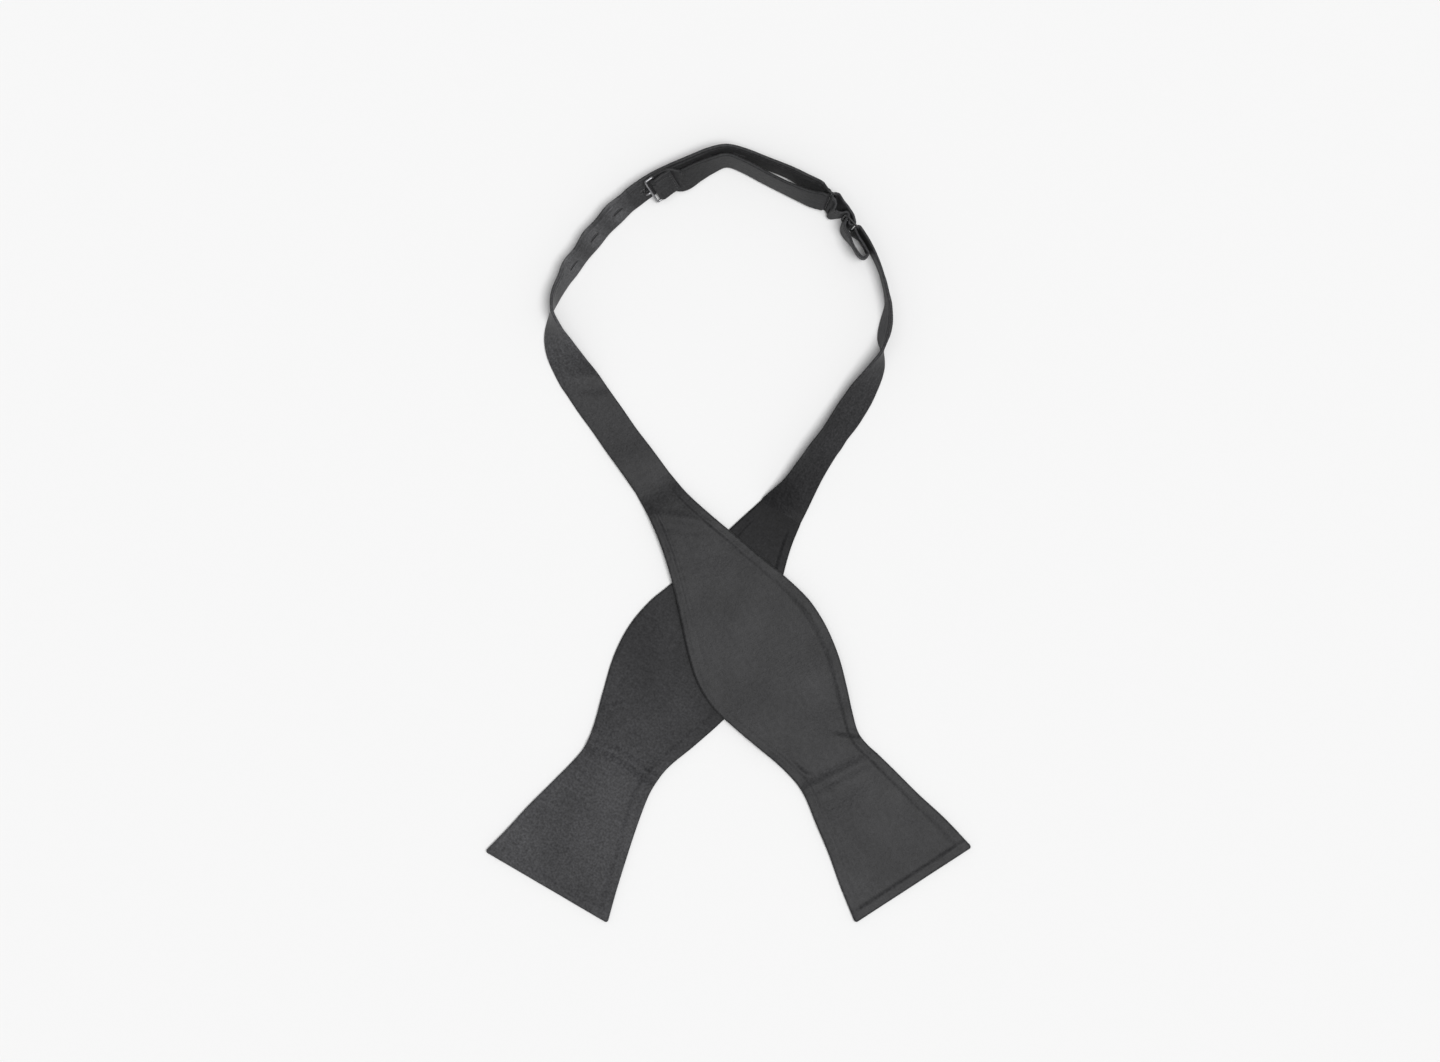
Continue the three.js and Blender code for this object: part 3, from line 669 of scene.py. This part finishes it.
def soft_noise(u, v, along, across, seed):
    """Smooth noise from -1 to 1 with the given sizes along and across the cloth."""
    flat = [
        noise.noise(Vector((a / along + seed, b / across, seed * 0.7)))
        for a, b in zip(u.ravel(), v.ravel())
    ]
    return np.array(flat).reshape(u.shape)


def crease_height(u, v, crease):
    """A ridge or valley between two points, fading at both ends."""
    (u0, v0), (u1, v1), half, height = crease
    length = math.hypot(u1 - u0, v1 - v0)
    du, dv = (u1 - u0) / length, (v1 - v0) / length
    along = (u - u0) * du + (v - v0) * dv
    beside = (u - u0) * -dv + (v - v0) * du
    fade = 0.3 * length
    ends = smoothstep(-fade, fade, along) * smoothstep(-fade, fade, length - along)
    return height * ends * np.exp(-(beside / half) ** 2)


def blade_length(blade):
    return blade["rows"][-1][0]


def blade_surface(blade):
    """Grids over a blade: u, v, middle height, and the relief of its face."""
    length = blade_length(blade)
    near_end = [0, 0.08, 0.2, 0.4, 0.65, 0.95, 1.4, 2.0]
    lines = np.r_[near_end, np.linspace(3, length, int(length - 2))]
    left, right, height = spaced(blade["rows"], lines).T
    rounded = CORNER * (1 - np.sqrt(1 - np.clip(1 - lines / CORNER, 0, 1) ** 2))
    left, right = left + rounded, right - rounded
    edge = np.array([0, 0.05, 0.15, 0.32, 0.55, 0.85, 1.3, 2.0])
    share = np.linspace(0, 1, 42)
    columns = []
    for low, high in zip(left, right):
        middle = low + 2.8 + (high - low - 5.6) * share
        columns.append(np.r_[low + edge, middle, (high - edge)[::-1]])
    v = np.array(columns)
    u = np.repeat(lines[:, None], v.shape[1], 1)
    from_left = v - left[:, None]
    from_right = right[:, None] - v
    from_side = np.minimum(from_left, from_right)
    middle = np.repeat(height[:, None], v.shape[1], 1)
    if blade["name"] == "front":
        middle = middle + DRAPE * smoothstep(80, 100, u) * (1 - smoothstep(205, 228, u))
    join_fade = 1 - smoothstep(length - 14, length - 3, u)
    swell = (soft_noise(u, v, 34, 22, blade["seed"]) + 1) / 2 * blade["swell"](u)
    swell = swell + 0.2 * (soft_noise(u, v, 10, 8, blade["seed"] + 5) + 1)
    relief = np.zeros_like(u)
    lift = swell
    for crease in blade["creases"]:
        if crease[3] > 0:
            lift = lift + 1.35 * crease_height(u, v, crease)
        else:
            relief = relief + 1.6 * crease_height(u, v, crease)
    for (bump_u, bump_v), radius, rise in blade["bumps"]:
        distance = ((u - bump_u) ** 2 + (v - bump_v) ** 2) / radius ** 2
        lift = lift + rise * np.exp(-distance)
    borders = blade["borders"]
    on_border = np.zeros_like(u)
    for distance, rows in ((from_left, borders["left"]), (from_right, borders["right"])):
        inset = np.interp(u, *np.array(rows, float).T)
        on_border = on_border + border_height(distance, inset)
    on_border = on_border + border_height(u, borders["end"])
    pucker = soft_noise(u, v, 3.2, 3.2, blade["seed"] + 9) * 0.1
    near_edge = np.exp(-np.minimum(from_side, u) / 5)
    relief = relief + np.minimum(on_border, 0.7) + pucker * near_edge
    rounding = roll_height(from_side) * roll_height(u)
    return {
        "u": u, "v": v, "middle": middle + lift * join_fade, "relief": relief * join_fade,
        "rounding": rounding, "lines": lines,
    }


def border_height(distance, inset):
    """The allowance inside the edge lifts the face, and stops at a soft pressed line."""
    step = 0.42 * (1 - smoothstep(inset - 0.7, inset + 0.7, distance))
    ridge = 0.2 * np.exp(-((distance - inset + 0.8) / 0.8) ** 2)
    return step + ridge - 0.16 * np.exp(-((distance - inset - 0.7) / 0.7) ** 2)


def roll_height(distance):
    share = np.clip(distance / ROLL, 0, 1)
    return np.sqrt(1 - (1 - share) ** 2)


def blade_point(blade, u, v, z):
    heading = unit(blade["heading"])
    right = np.array([heading[1], -heading[0], 0])
    plan = np.array(blade["tip"]) + u[..., None] * heading + v[..., None] * right
    plan[..., 2] = z
    return plan


def grid_normals(grid):
    along = np.gradient(grid, axis=0)
    across = np.gradient(grid, axis=1)
    normals = np.cross(across, along)
    return normals / np.maximum(np.linalg.norm(normals, axis=2), 1e-9)[..., None]


def add_panel(blade, surface, side, material):
    """One satin panel of a blade: side 1 is the face, -1 the back, which meet at the edge seam."""
    relief = surface["relief"] if side > 0 else np.minimum(surface["relief"] * 0.2, 0)
    thickness = LIP + (THICK / 2 - LIP + relief) * surface["rounding"]
    outer = blade_point(blade, surface["u"], surface["v"], surface["middle"] + side * thickness)
    normals = grid_normals(outer)
    normals *= np.sign(normals[..., 2].mean()) * side
    inner = outer - normals * CLOTH
    across_middle = side * (inner[..., 2] - surface["middle"])
    inner[..., 2] += side * np.maximum(LIP - across_middle, 0)
    cloth = np.stack([surface["v"], surface["u"]], axis=-1)
    name = f"{blade['name']}_{'face' if side > 0 else 'back'}_panel"
    piece = grid_shell(name, outer, inner, cloth, material)
    return piece


def add_blade_interlining(blade, surface, material):
    """The stiffener between the panels, cut short of the seam all round."""
    inset = 1.4
    rows = surface["lines"] >= inset
    v = surface["v"][rows]
    low, high = v[:, :1] + inset, v[:, -1:] - inset
    share = (v - v[:, :1]) / (v[:, -1:] - v[:, :1])
    v = low + (high - low) * share
    u = surface["u"][rows]
    middle = surface["middle"][rows]
    outer = blade_point(blade, u, v, middle + CORE / 2)
    inner = blade_point(blade, u, v, middle - CORE / 2)
    cloth = np.stack([v, u], axis=-1)
    name = f"{blade['name']}_blade_interlining"
    piece = grid_shell(name, outer, inner, cloth, material)
    return piece


def add_blade(blade, satin, canvas):
    surface = blade_surface(blade)
    name = blade["name"]
    pieces = [
        (add_panel(blade, surface, 1, satin), "face_panel"),
        (add_panel(blade, surface, -1, satin), "back_panel"),
        (add_blade_interlining(blade, surface, canvas), "interlining"),
    ]
    for piece, part in pieces:
        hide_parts(f"{name}_tip_{part}", f"{name}_belly_{part}")
        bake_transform(piece)


def blade_end(blade):
    """The station where a blade's narrow end meets its band."""
    along, left, right, height = blade["rows"][-1]
    heading = unit(blade["heading"])
    across = np.array([heading[1], -heading[0], 0])
    centre = np.array(blade["tip"]) + heading * along + across * (left + right) / 2
    centre[2] = height
    return station(centre, across, right - left)


# Bands. Each is one satin strip folded round, its edges slip-stitched in a slit near the upper
# edge on the side that faces the neck.

SLIT_FROM_EDGE = 2.2
SLIT_HALF = 0.07
SLIT_DEPTH = 0.25


def folded_section(width, half_thick, slit_side, cloth_inset):
    """Points [across, normal] from one lip of the slit, round the strip, to the other lip. The
    cloth's outside dives into the slit, so that the closed edges leave a narrow groove."""
    half = width / 2 - cloth_inset
    rise = half_thick - cloth_inset
    fold = rise * 0.95
    slit = width / 2 - SLIT_FROM_EDGE
    lip = [(SLIT_HALF, SLIT_DEPTH), (0.2, SLIT_DEPTH * 0.5), (0.36, SLIT_DEPTH * 0.12), (0.8, 0)]
    sink = 0 if cloth_inset else 1
    points = [(slit - gap, -rise + sink * depth) for gap, depth in lip]
    points += [(a, -rise) for a in np.linspace(slit - 2, -half + fold, 11)]
    for angle in np.radians(np.linspace(-105, -255, 9)):
        points.append((-half + fold + fold * math.cos(angle), rise * math.sin(angle)))
    points += [(a, rise) for a in np.linspace(-half + fold * 1.3, half - fold * 1.3, 16)]
    for angle in np.radians(np.linspace(75, -75, 9)):
        points.append((half - fold + fold * math.cos(angle), rise * math.sin(angle)))
    points += [(slit + gap, -rise + sink * depth) for gap, depth in lip[2::-1]]
    made = np.array(points)
    made[:, 0] *= slit_side
    return made


def add_strip(name, ribbon, picked, half_thick, slit_side, waves, material):
    """A length of folded band. waves gives, for a place along and across and a side, how far the
    cloth stands out of its even shape."""
    outer, inner, cloth = [], [], []
    for index in picked:
        width, thick = ribbon.width[index], half_thick[index]
        centre, across, normal = ribbon.centre[index], ribbon.across[index], ribbon.normal[index]
        travelled = ribbon.travelled[index]
        for made, inset in ((outer, 0), (inner, CLOTH)):
            section = folded_section(width, thick, slit_side, inset)
            side = np.clip(section[:, 1] / (thick - inset), -1, 1)
            flat_share = section[:, 0] / (width / 2)
            stand = waves(np.full(len(section), travelled), flat_share, side, width, slit_side)
            made.append(centre + section[:, :1] * across + (section[:, 1] + stand)[:, None] * normal)
        round_strip = distances_along(folded_section(width, thick, slit_side, 0))
        cloth.append(np.stack([round_strip, np.full(len(round_strip), travelled)], -1))
    piece = grid_shell(name, np.array(outer), np.array(inner), np.array(cloth), material)
    return piece


def add_core(name, ribbon, picked, waves, slit_side, material):
    """The interlining inside a length of band."""
    grids = ([], [])
    cloth = []
    for index in picked:
        half = ribbon.width[index] / 2 - CLOTH - 0.45
        across_places = np.linspace(-half, half, 14)
        travelled = np.full(14, ribbon.travelled[index])
        shares = across_places / (ribbon.width[index] / 2)
        stand = waves(travelled, shares, np.zeros(14), ribbon.width[index], slit_side)
        for grid, side in zip(grids, (1, -1)):
            places = across_places[:, None] * ribbon.across[index]
            depth = (stand + side * CORE / 2)[:, None] * ribbon.normal[index]
            grid.append(ribbon.centre[index] + places + depth)
        cloth.append(np.stack([across_places, travelled], -1))
    cloth = np.array(cloth)
    piece = grid_shell(name, np.array(grids[0]), np.array(grids[1]), cloth, material)
    return piece


def seam_ridge(share, side, width, slit_side):
    """The turned-in edges stand a little proud beside the slit."""
    from_slit = np.abs(share * width / 2 - slit_side * (width / 2 - SLIT_FROM_EDGE))
    on_neck_side = np.clip(-side, 0, 1)
    return -0.16 * np.exp(-((from_slit - 0.5) / 0.45) ** 2) * on_neck_side


# Front band: from the blade round to the ring, and back on the neck side to the hook.

ring = hardware_frame([47.6, 158.7, 8.7], [0.9, -0.43, 0], 27)

FRONT_BAND_ROWS = [
    [-44.5, 35.3, 0, 18.6, 1.5], [-51.3, 44.4, 0, 18.3, 1], [-58.1, 54.2, 0, 18.3, 0.5],
    [-64.3, 62.8, 3, 18.5], [-70.1, 71.3, 10, 18.5], [-74.8, 78, 19, 18.4],
    [-78.4, 84.1, 29, 18.2], [-81.5, 91, 44, 17.8], [-83.7, 98.4, 65, 17.2],
    [-84.5, 106.2, 87, 16.6], [-82.8, 113, 102, 15.8], [-79.6, 119.9, 111, 15.5],
    [-75.4, 127.1, 118, 15.2], [-70.2, 134.3, 122, 15], [-64.6, 141.7, 125, 15],
    [-58.5, 148.8, 127, 15], [-51.5, 155.7, 127, 15], [-43.9, 162, 127, 15],
    [-35.4, 167.8, 125, 15], [-26.3, 172.7, 120, 15, 0.2], [-16.8, 177.2, 115, 15, 0.5],
    [-8.6, 180.9, 111, 15, 0.7], [-1, 182.7, 108, 15, 0.9], [7.5, 180.8, 107, 15, 1.1],
    [17.7, 176.9, 106, 15, 1.3], [28.2, 172.8, 106, 15, 1.5], [36.4, 168.4, 111, 15, 1.7],
]
RETURN_ROWS = [
    [40.8, 159.4, 115, 15, 1.6], [35.5, 161.4, 111, 15, 1.4], [28, 164.8, 108, 15, 1.2],
    [17.5, 170, 107, 15, 1], [7.5, 175.3, 107, 15, 0.9], [-1, 178.2, 109, 15, 0.9],
    [-9, 175.5, 114, 15, 0.9], [-15.5, 172.3, 121, 15, 1], [-22.2, 168.7, 128, 15, 1.2],
]


def front_stations():
    start = blade_end(FRONT)
    out = [start, *band_stations(FRONT_BAND_ROWS, start[:2], [42.5, 165.6])]
    bight = frame_stations(ring, ring["top"], [(-6.4, -3.6)])
    bight += wrap_stations(ring, ring["top"], (-RING_HALF, 0), WRAP, -100, 100, 8)
    return out + bight


def find_slots():
    ribbon = Ribbon(front_stations())
    places = [HOOKED_AT + (index - HOOKED_SLOT) * SLOT_PITCH for index in range(SLOT_COUNT)]
    return [ribbon.at(place) for place in places], places


def find_hook(slot):
    """The hook's bar lies on the neck side of the band, a little nearer the ring than its slot."""
    inward = -turned(slot["normal"], slot["tangent"], HOOK_LEAN)
    origin = slot["centre"] + slot["tangent"] * HOOK_AHEAD + inward * HOOK_OFFSET
    top = turned(slot["across"], slot["tangent"], HOOK_LEAN)
    return {"origin": origin, "along": slot["tangent"], "inward": inward, "top": top}


slots, slot_places = find_slots()
hook = find_hook(slots[HOOKED_SLOT])


def front_waves(travelled, share, side, width, slit_side):
    """Puffs between the slots, a soft diagonal crease low on the band, and small unevenness."""
    from_slot = (travelled - slot_places[0]) / SLOT_PITCH
    in_row = smoothstep(-0.9, -0.2, from_slot) * (1 - smoothstep(2.3, 2.8, from_slot))
    puff = 0.42 * np.sin(math.pi * from_slot) ** 2 * in_row * (1 - share ** 4)
    pucker = 0.4 * (share + 0.3) * np.cos(math.tau * from_slot + 0.6) * in_row
    diagonal = 0.5 * np.exp(-((travelled - 56 + 6 * share) / 3.5) ** 2)
    diagonal = diagonal - 0.3 * np.exp(-((travelled - 64 + 6 * share) / 4) ** 2)
    drift = 0.2 * np.sin(travelled / 7.3 + share) * np.sin(travelled / 17 + 1)
    clear_of_join = smoothstep(2, 12, travelled) * (1 - smoothstep(105, 118, travelled))
    whole = (diagonal + drift) * clear_of_join + pucker
    return whole + side * puff + seam_ridge(share, side, width, slit_side)


def add_front_band(satin, canvas, thread):
    stations = front_stations()
    stations += band_stations(RETURN_ROWS[::-1], [-29, 165.6], [45.6, 157.8])[::-1]
    stations += frame_stations(hook, hook["top"], [(6.2, -0.7)])
    stations += wrap_stations(hook, hook["top"], (0, 0), WRAP, -80, -280, 8)
    stations += frame_stations(hook, hook["top"], [(4.5, 1.35), (8.5, 1.75)])
    ribbon = Ribbon(stations, unit(FRONT["heading"]))
    count = len(ribbon.centre)
    half_thick = np.full(count, THICK / 2)
    cover = add_strip(
        "slotted_band_strip", ribbon, range(count), half_thick, 1, front_waves, satin
    )
    core = add_core("slotted_band_stiffener", ribbon, range(count - 2), front_waves, 1, canvas)
    for piece, node in ((cover, "slotted_band_cover"), (core, "slotted_band_interlining")):
        cut_slots(piece)
        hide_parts(node)
        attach(piece, "tie")
    for index, slot in enumerate(slots):
        add_buttonhole(index, slot, thread)


def slot_height(index):
    return HOOKED_SLOT_HEIGHT if index == HOOKED_SLOT else SLOT_HEIGHT


def stadium(length, height, count):
    """Points round a slot's outline, in its own plane."""
    radius = height / 2
    straight = length - height
    half_way = straight + math.pi * radius
    points = []
    for step in range(count):
        turn, place = divmod(step / count * 2 * half_way, half_way)
        x, y = place - straight / 2, -radius
        if place >= straight:
            angle = (place - straight) / radius - math.pi / 2
            x = straight / 2 + radius * math.cos(angle)
            y = radius * math.sin(angle)
        side = -1 if turn else 1
        points.append((side * x, side * y))
    return np.array(points)


def in_slot(slot, x, y, z):
    side = np.cross(slot["normal"], slot["tangent"])
    return slot["centre"] + x * slot["tangent"] + y * side + z * slot["normal"]


RIM_WIDTH = 0.65            # that the cut is larger than its slot
RIM_LINE = 0.5              # the same for the middle line of the stitching
RIM_HALF = 0.42             # half width of the stitching, which narrows the opening
RIM_PROUD = 0.1


def cut_slots(piece):
    """Cuts the slots, so that each cut edge is hidden in its stitching."""
    solids = []
    sides = 28
    ends = [tuple(range(sides))[::-1], tuple(range(sides, 2 * sides))]
    for index, slot in enumerate(slots):
        outline = stadium(SLOT_LENGTH + RIM_WIDTH, slot_height(index) + RIM_WIDTH, sides)
        points = [in_slot(slot, x, y, depth) for depth in (-THICK, THICK) for x, y in outline]
        solids.append((np.array(points), ends + ring_faces(2, sides, False)))
    tool = merge("slot_cutter", solids, piece.data.materials[0])
    boolean(piece, tool, "DIFFERENCE")


def slot_stand(index, slot, x, y):
    """How far the puckered band stands out at a place beside a slot."""
    side = np.sign(np.dot(np.cross(slot["normal"], slot["tangent"]), slot["across"]))
    share = side * y / (BAND_WIDTH / 2)
    return front_waves(slot_places[index] + x, share, 0.0, BAND_WIDTH, 1)


FRONT_BAND_LENGTH = 380     # along which the painted shade and sheen of each band are laid out
REAR_BAND_LENGTH = 240


def band_painted_sheen():
    """Painted sheen: the puckered satin is painted paler at each slot than between the slots, where
    the puckers catch the light.
    """
    painted_tones = [(0, 0.85), (0.13, 0.85), (0.22, 2.2), (0.28, 1.5)]
    for place in slot_places[:HOOKED_SLOT]:
        beyond = place + SLOT_PITCH / 2
        painted_tones += [(place / FRONT_BAND_LENGTH, 2.7), (beyond / FRONT_BAND_LENGTH, 1.2)]
    return painted_tones + [(0.5, 1), (0.72, 0.75), (1, 0.85)]


def add_buttonhole(index, slot, thread):
    """Close stitches round a slot, wrapped through to the other face."""
    steps, corners = 144, 12
    outline = stadium(SLOT_LENGTH + RIM_LINE, slot_height(index) + RIM_LINE, steps)
    along = np.roll(outline, -1, 0) - np.roll(outline, 1, 0)
    along = unit(along)
    outward = np.stack([along[:, 1], -along[:, 0]], -1)
    points = []
    for step in range(steps):
        swell = abs(math.sin(math.pi * step / 4))
        half_width = RIM_HALF * (0.86 + 0.2 * swell)
        depth = THICK / 2 + RIM_PROUD * (0.6 + 0.9 * swell)
        stand = slot_stand(index, slot, *outline[step])
        for corner in range(corners):
            angle = math.tau * corner / corners
            across = half_width * math.copysign(abs(math.cos(angle)) ** 0.6, math.cos(angle))
            rise = depth * math.copysign(abs(math.sin(angle)) ** 0.35, math.sin(angle))
            x, y = outline[step] + outward[step] * across
            points.append(in_slot(slot, x, y, stand + rise))
    solid = (np.array(points), ring_faces(steps, corners, True))
    piece = merge(f"buttonhole_stitching_{index + 1}", [solid], thread)
    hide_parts(f"buttonhole_rim_{index + 1}")
    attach(piece, "tie")


# Rear band: up to the slider, in round its last bar, a slack loop on the neck side, out by the
# first bar, round the ring, and back to the slider's middle bar.

ARC_RADIUS = 71.5
SLIDER_RADIUS = 70.05
SLIDER_ANGLE = 41.1
SLIDER_HEIGHT = 9.3
SLIDER_LEAN = 8
CORE_END = 15               # degrees along the arc, where the interlining stops


def arc_point(angle, radius):
    turn = math.radians(angle)
    return [ARC_CENTRE[0] + radius * math.cos(turn), ARC_CENTRE[1] + radius * math.sin(turn)]


def arc_rows(rows):
    """Rows of the band along the arc, from the angle, roll and lift of each."""
    return [[*arc_point(angle, ARC_RADIUS), roll, BAND_WIDTH, lift] for angle, roll, lift in rows]


slider_turn = math.radians(SLIDER_ANGLE)
slider = hardware_frame(
    [*arc_point(SLIDER_ANGLE, SLIDER_RADIUS), SLIDER_HEIGHT],
    [math.sin(slider_turn), -math.cos(slider_turn), 0], SLIDER_LEAN,
)

REAR_BAND_ROWS = [
    [33.3, 21.2, -24, 18.4, 0.5], [41.2, 33.8, -38, 18], [49.5, 45.7, -45, 17.6],
    [58.3, 58.2, -38, 17.4], [65.4, 69.5, -47, 17.2], [70.8, 79, -64, 16.8, 0.1],
    [73.5, 86.8, -87, 16.2, 0.15], [74.2, 93.9, -106, 15.6], [75.5, 101, -108, 15.2],
]


def rear_stations():
    """Stations of the whole rear strip, with the indexes where the slider's bars are met."""
    start = blade_end(REAR)
    arc = arc_rows([
        [6, -97, 0.1], [10, -93, 0.2], [CORE_END, -92, 0.4], [21, -93, 0.8], [27, -95, 1.1],
        [32, -97, 1.3],
    ])
    stations = [start, *band_stations([*REAR_BAND_ROWS, *arc], start[:2], arc_point(36, ARC_RADIUS))]
    core_end = len(REAR_BAND_ROWS) + 3
    down, ring_down = -slider["top"], -ring["top"]
    between = unit(down + ring_down)
    at_last_bar = len(stations)
    stations += wrap_stations(slider, down, (SLIDER_PITCH, 0), THIN_WRAP, -80, -260, 6)
    stations += frame_stations(slider, -UP, [(8, 1.4), (12, 1.9), (14.8, 2.6)])
    stations += wrap_stations(slider, -UP, (14.6, 4.6), 2.1, -60, 80, 4)
    stations += frame_stations(slider, -UP, [(12, 6.6), (8, 5.8)])
    stations += frame_stations(slider, down, [(3.5, 4.9), (0, 4.3), (-2.1, 2.4)])
    stations += wrap_stations(slider, down, (-SLIDER_PITCH, 0), THIN_WRAP, 5, -125, 5)
    past_first_bar = len(stations) - 1
    stations += frame_stations(slider, down, [(-7, 1.4)])
    stations.append(station(in_frame(slider, -9.6, 3.3), between, BAND_WIDTH))
    stations += frame_stations(ring, ring_down, [(3, 2.3)])
    stations += wrap_stations(ring, ring_down, (RING_HALF, 0), THIN_WRAP + 0.2, 125, 265, 5)
    stations += frame_stations(ring, ring_down, [(3.8, -1.65)])
    stations.append(station(in_frame(slider, -8.8, -2.5), between, BAND_WIDTH))
    stations += frame_stations(slider, down, [(-5.4, -3.1), (-2.1, -2.6)])
    stations += wrap_stations(slider, down, (0, 0), THIN_WRAP, -75, 190, 9)
    return stations, core_end, at_last_bar, past_first_bar


def rear_waves(travelled, share, side, width, slit_side):
    drift = 0.22 * np.sin(travelled / 6.1 + 1.4 * share) * np.sin(travelled / 15)
    dip = 0.5 * np.exp(-((travelled - 36 - 7 * share) / 4) ** 2)
    dip = dip - 0.4 * np.exp(-((travelled - 66 + 5 * share) / 5) ** 2)
    clear_of_join = smoothstep(2, 12, travelled) * (1 - smoothstep(95, 108, travelled))
    return (drift + dip) * clear_of_join + seam_ridge(share, side, width, slit_side)


def nearest_sample(ribbon, place):
    return int(np.argmin(np.linalg.norm(ribbon.centre - place[:3], axis=1)))


def add_rear_band(satin, canvas):
    stations, core_end, at_last_bar, past_first_bar = rear_stations()
    ribbon = Ribbon(stations, unit(REAR["heading"]))
    core_stop = nearest_sample(ribbon, stations[core_end])
    last_bar = nearest_sample(ribbon, stations[at_last_bar])
    first_bar = nearest_sample(ribbon, stations[past_first_bar])
    count = len(ribbon.centre)
    past_core = smoothstep(0, 4, ribbon.travelled - ribbon.travelled[core_stop])
    half_thick = THICK / 2 + (STRAP_THICK - THICK) / 2 * past_core

    def strip(name, start, stop):
        return add_strip(name, ribbon, range(start, stop), half_thick, -1, rear_waves, satin)

    running = strip("slider_band_strip", 0, last_bar + 1)
    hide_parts("slider_band_cover")
    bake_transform(running)
    slack = strip("adjuster_slack_loop", last_bar, first_bar + 1)
    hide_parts("adjuster_strap")
    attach(slack, "slider")
    doubled = strip("adjuster_doubled_strap", first_bar, count)
    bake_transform(doubled)
    core = add_core("slider_band_stiffener", ribbon, range(core_stop), rear_waves, -1, canvas)
    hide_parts("slider_band_interlining")
    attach(core, "tie")


# Hardware and stitches.


def in_hardware(place, points):
    """Points [along, inward, across] in a piece of hardware's own frame."""
    return in_frame(place, *np.asarray(points, float).T[..., None])


def wire_loop(place, low, high, corner):
    """A closed wire rectangle with bent corners, from low to high along the band."""
    path = []
    turns = ((high, 1, 0), (low, 1, 90), (low, -1, 180), (high, -1, 270))
    for along, side, start in turns:
        inner_along = along - math.copysign(corner, along - (low + high) / 2)
        inner_side = side * (RAIL_AT - corner)
        for angle in np.radians(np.linspace(start, start + 90, 7)):
            path.append((
                inner_along + corner * math.cos(angle), 0, inner_side + corner * math.sin(angle),
            ))
    dense = []
    for first, second in zip(path, path[1:] + path[:1]):
        gap = math.dist(first, second)
        steps = max(1, round(gap / 0.9))
        dense += [np.array(first) + (np.array(second) - first) * step / steps for step in range(steps)]
    return tube(in_hardware(place, dense), VISIBLE_WIRE, 16, True)


def rod(place, path, radius):
    points = in_hardware(place, path)
    return tube(points, rounded_ends(points, radius), 14, False)


def add_hardware(name, solids, material, node, body):
    whole = merge(name, solids[:1], material)
    for index, solid in enumerate(solids[1:]):
        boolean(whole, merge(f"{name}_part_{index}", [solid], material), "UNION")
    whole.data.polygons.foreach_set("use_smooth", [True] * len(whole.data.polygons))
    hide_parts(node)
    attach(whole, body)


def straight(start, end, step=0.25):
    count = max(2, round(math.dist(start, end) / step))
    share = np.linspace(0, 1, count)[:, None]
    return np.array(start) * (1 - share) + np.array(end) * share


def add_ring_and_slider(dark):
    loop = wire_loop(ring, -RING_HALF, RING_HALF, 1.2)
    add_hardware("ring_wire", [loop], dark, "joining_ring", "ring")
    loop = wire_loop(slider, -SLIDER_PITCH, SLIDER_PITCH, 1.6)
    bar = rod(slider, straight([0, 0, -RAIL_AT], [0, 0, RAIL_AT]), VISIBLE_WIRE)
    add_hardware("slider_frame", [loop, bar], dark, "three_bar_slider", "slider")


def add_hook(steel):
    """A wire loop whose front bar carries a curved prong that goes through a slot."""
    loop = wire_loop(hook, -HOOK_FRONT, 0, 0.75)
    bend = [(-HOOK_FRONT, 0, 0), (-5.4, 0, 0), (-6.2, -0.12, 0), (-6.75, -0.5, 0)]
    arc = []
    for angle in np.radians(np.linspace(190, 180 + PRONG_SWEEP, 24)):
        arc.append((PRONG_RADIUS * math.cos(angle), PRONG_RADIUS * math.sin(angle), 0))
    path = []
    for first, second in zip(bend + arc, (bend + arc)[1:]):
        path += list(straight(first, second, 0.3)[:-1])
    path.append(arc[-1])
    prong = rod(hook, path, VISIBLE_WIRE)
    add_hardware("hook_wire", [loop, prong], steel, "band_hook", "hook")


def add_tacks(name, place, along, inward, span, material, node, body):
    """A row of short hand stitches across a strap's sewn end."""
    solids = []
    pitch, stitch = 1.8, 1.15
    count = int(span / pitch)
    for index in range(count):
        middle = (index - (count - 1) / 2) * pitch
        path = []
        for share in np.linspace(-0.5, 0.5, 11):
            sink = 0.16 * (2 * share) ** 4
            depth = inward - math.copysign(sink, inward)
            path.append((along + 0.12 * share, depth, middle + stitch * share))
        points = in_hardware(place, path)
        solids.append(tube(points, rounded_ends(points, 0.16), 8, False))
    piece = merge(name, solids, material)
    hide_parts(node)
    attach(piece, body)


def main():
    add_camera()
    add_lights()
    add_floor()
    canvas = canvas_material()
    thread = thread_material()
    steel = metal_material("hook_steel", (0.30, 0.30, 0.31), 1.0, 0.36, 0.1)
    dark = metal_material("black_enamel", (0.012, 0.012, 0.013), 0.0, 0.5, 0.25)
    # The last table of each satin is painted shade and sheen along the piece: the rear blade painted
    # paler at its tip and darker toward its narrow end, the rear band painted darker next to its
    # blade.
    add_blade(FRONT, satin_material(
        "front_blade_satin", 0.2, blade_length(FRONT), [(0, 0.92), (1, 0.84)]
    ), canvas)
    add_blade(REAR, satin_material(
        "rear_blade_satin", 0.08, blade_length(REAR), [(0, 1.75), (0.34, 1.6), (0.48, 1.1), (1, 0.5)]
    ), canvas)
    add_front_band(satin_material(
        "front_band_satin", 0.2, FRONT_BAND_LENGTH, band_painted_sheen()
    ), canvas, thread)
    add_rear_band(satin_material(
        "rear_band_satin", 0.1, REAR_BAND_LENGTH, [(0, 0.62), (0.2, 0.95), (0.4, 1.5), (1, 1.2)]
    ), canvas)
    add_ring_and_slider(dark)
    add_hook(steel)
    add_tacks(
        "hook_end_stitches", hook, 7.2, 1.65 + THICK / 2 + 0.12, BAND_WIDTH - 3, thread,
        "hook_end_tack", "tie",
    )
    add_tacks(
        "slider_end_stitches", slider, -2.7, -1.55, BAND_WIDTH - 4, thread,
        "slider_end_tack", "slider",
    )
    bpy.context.scene.view_settings.view_transform = "Standard"


main()
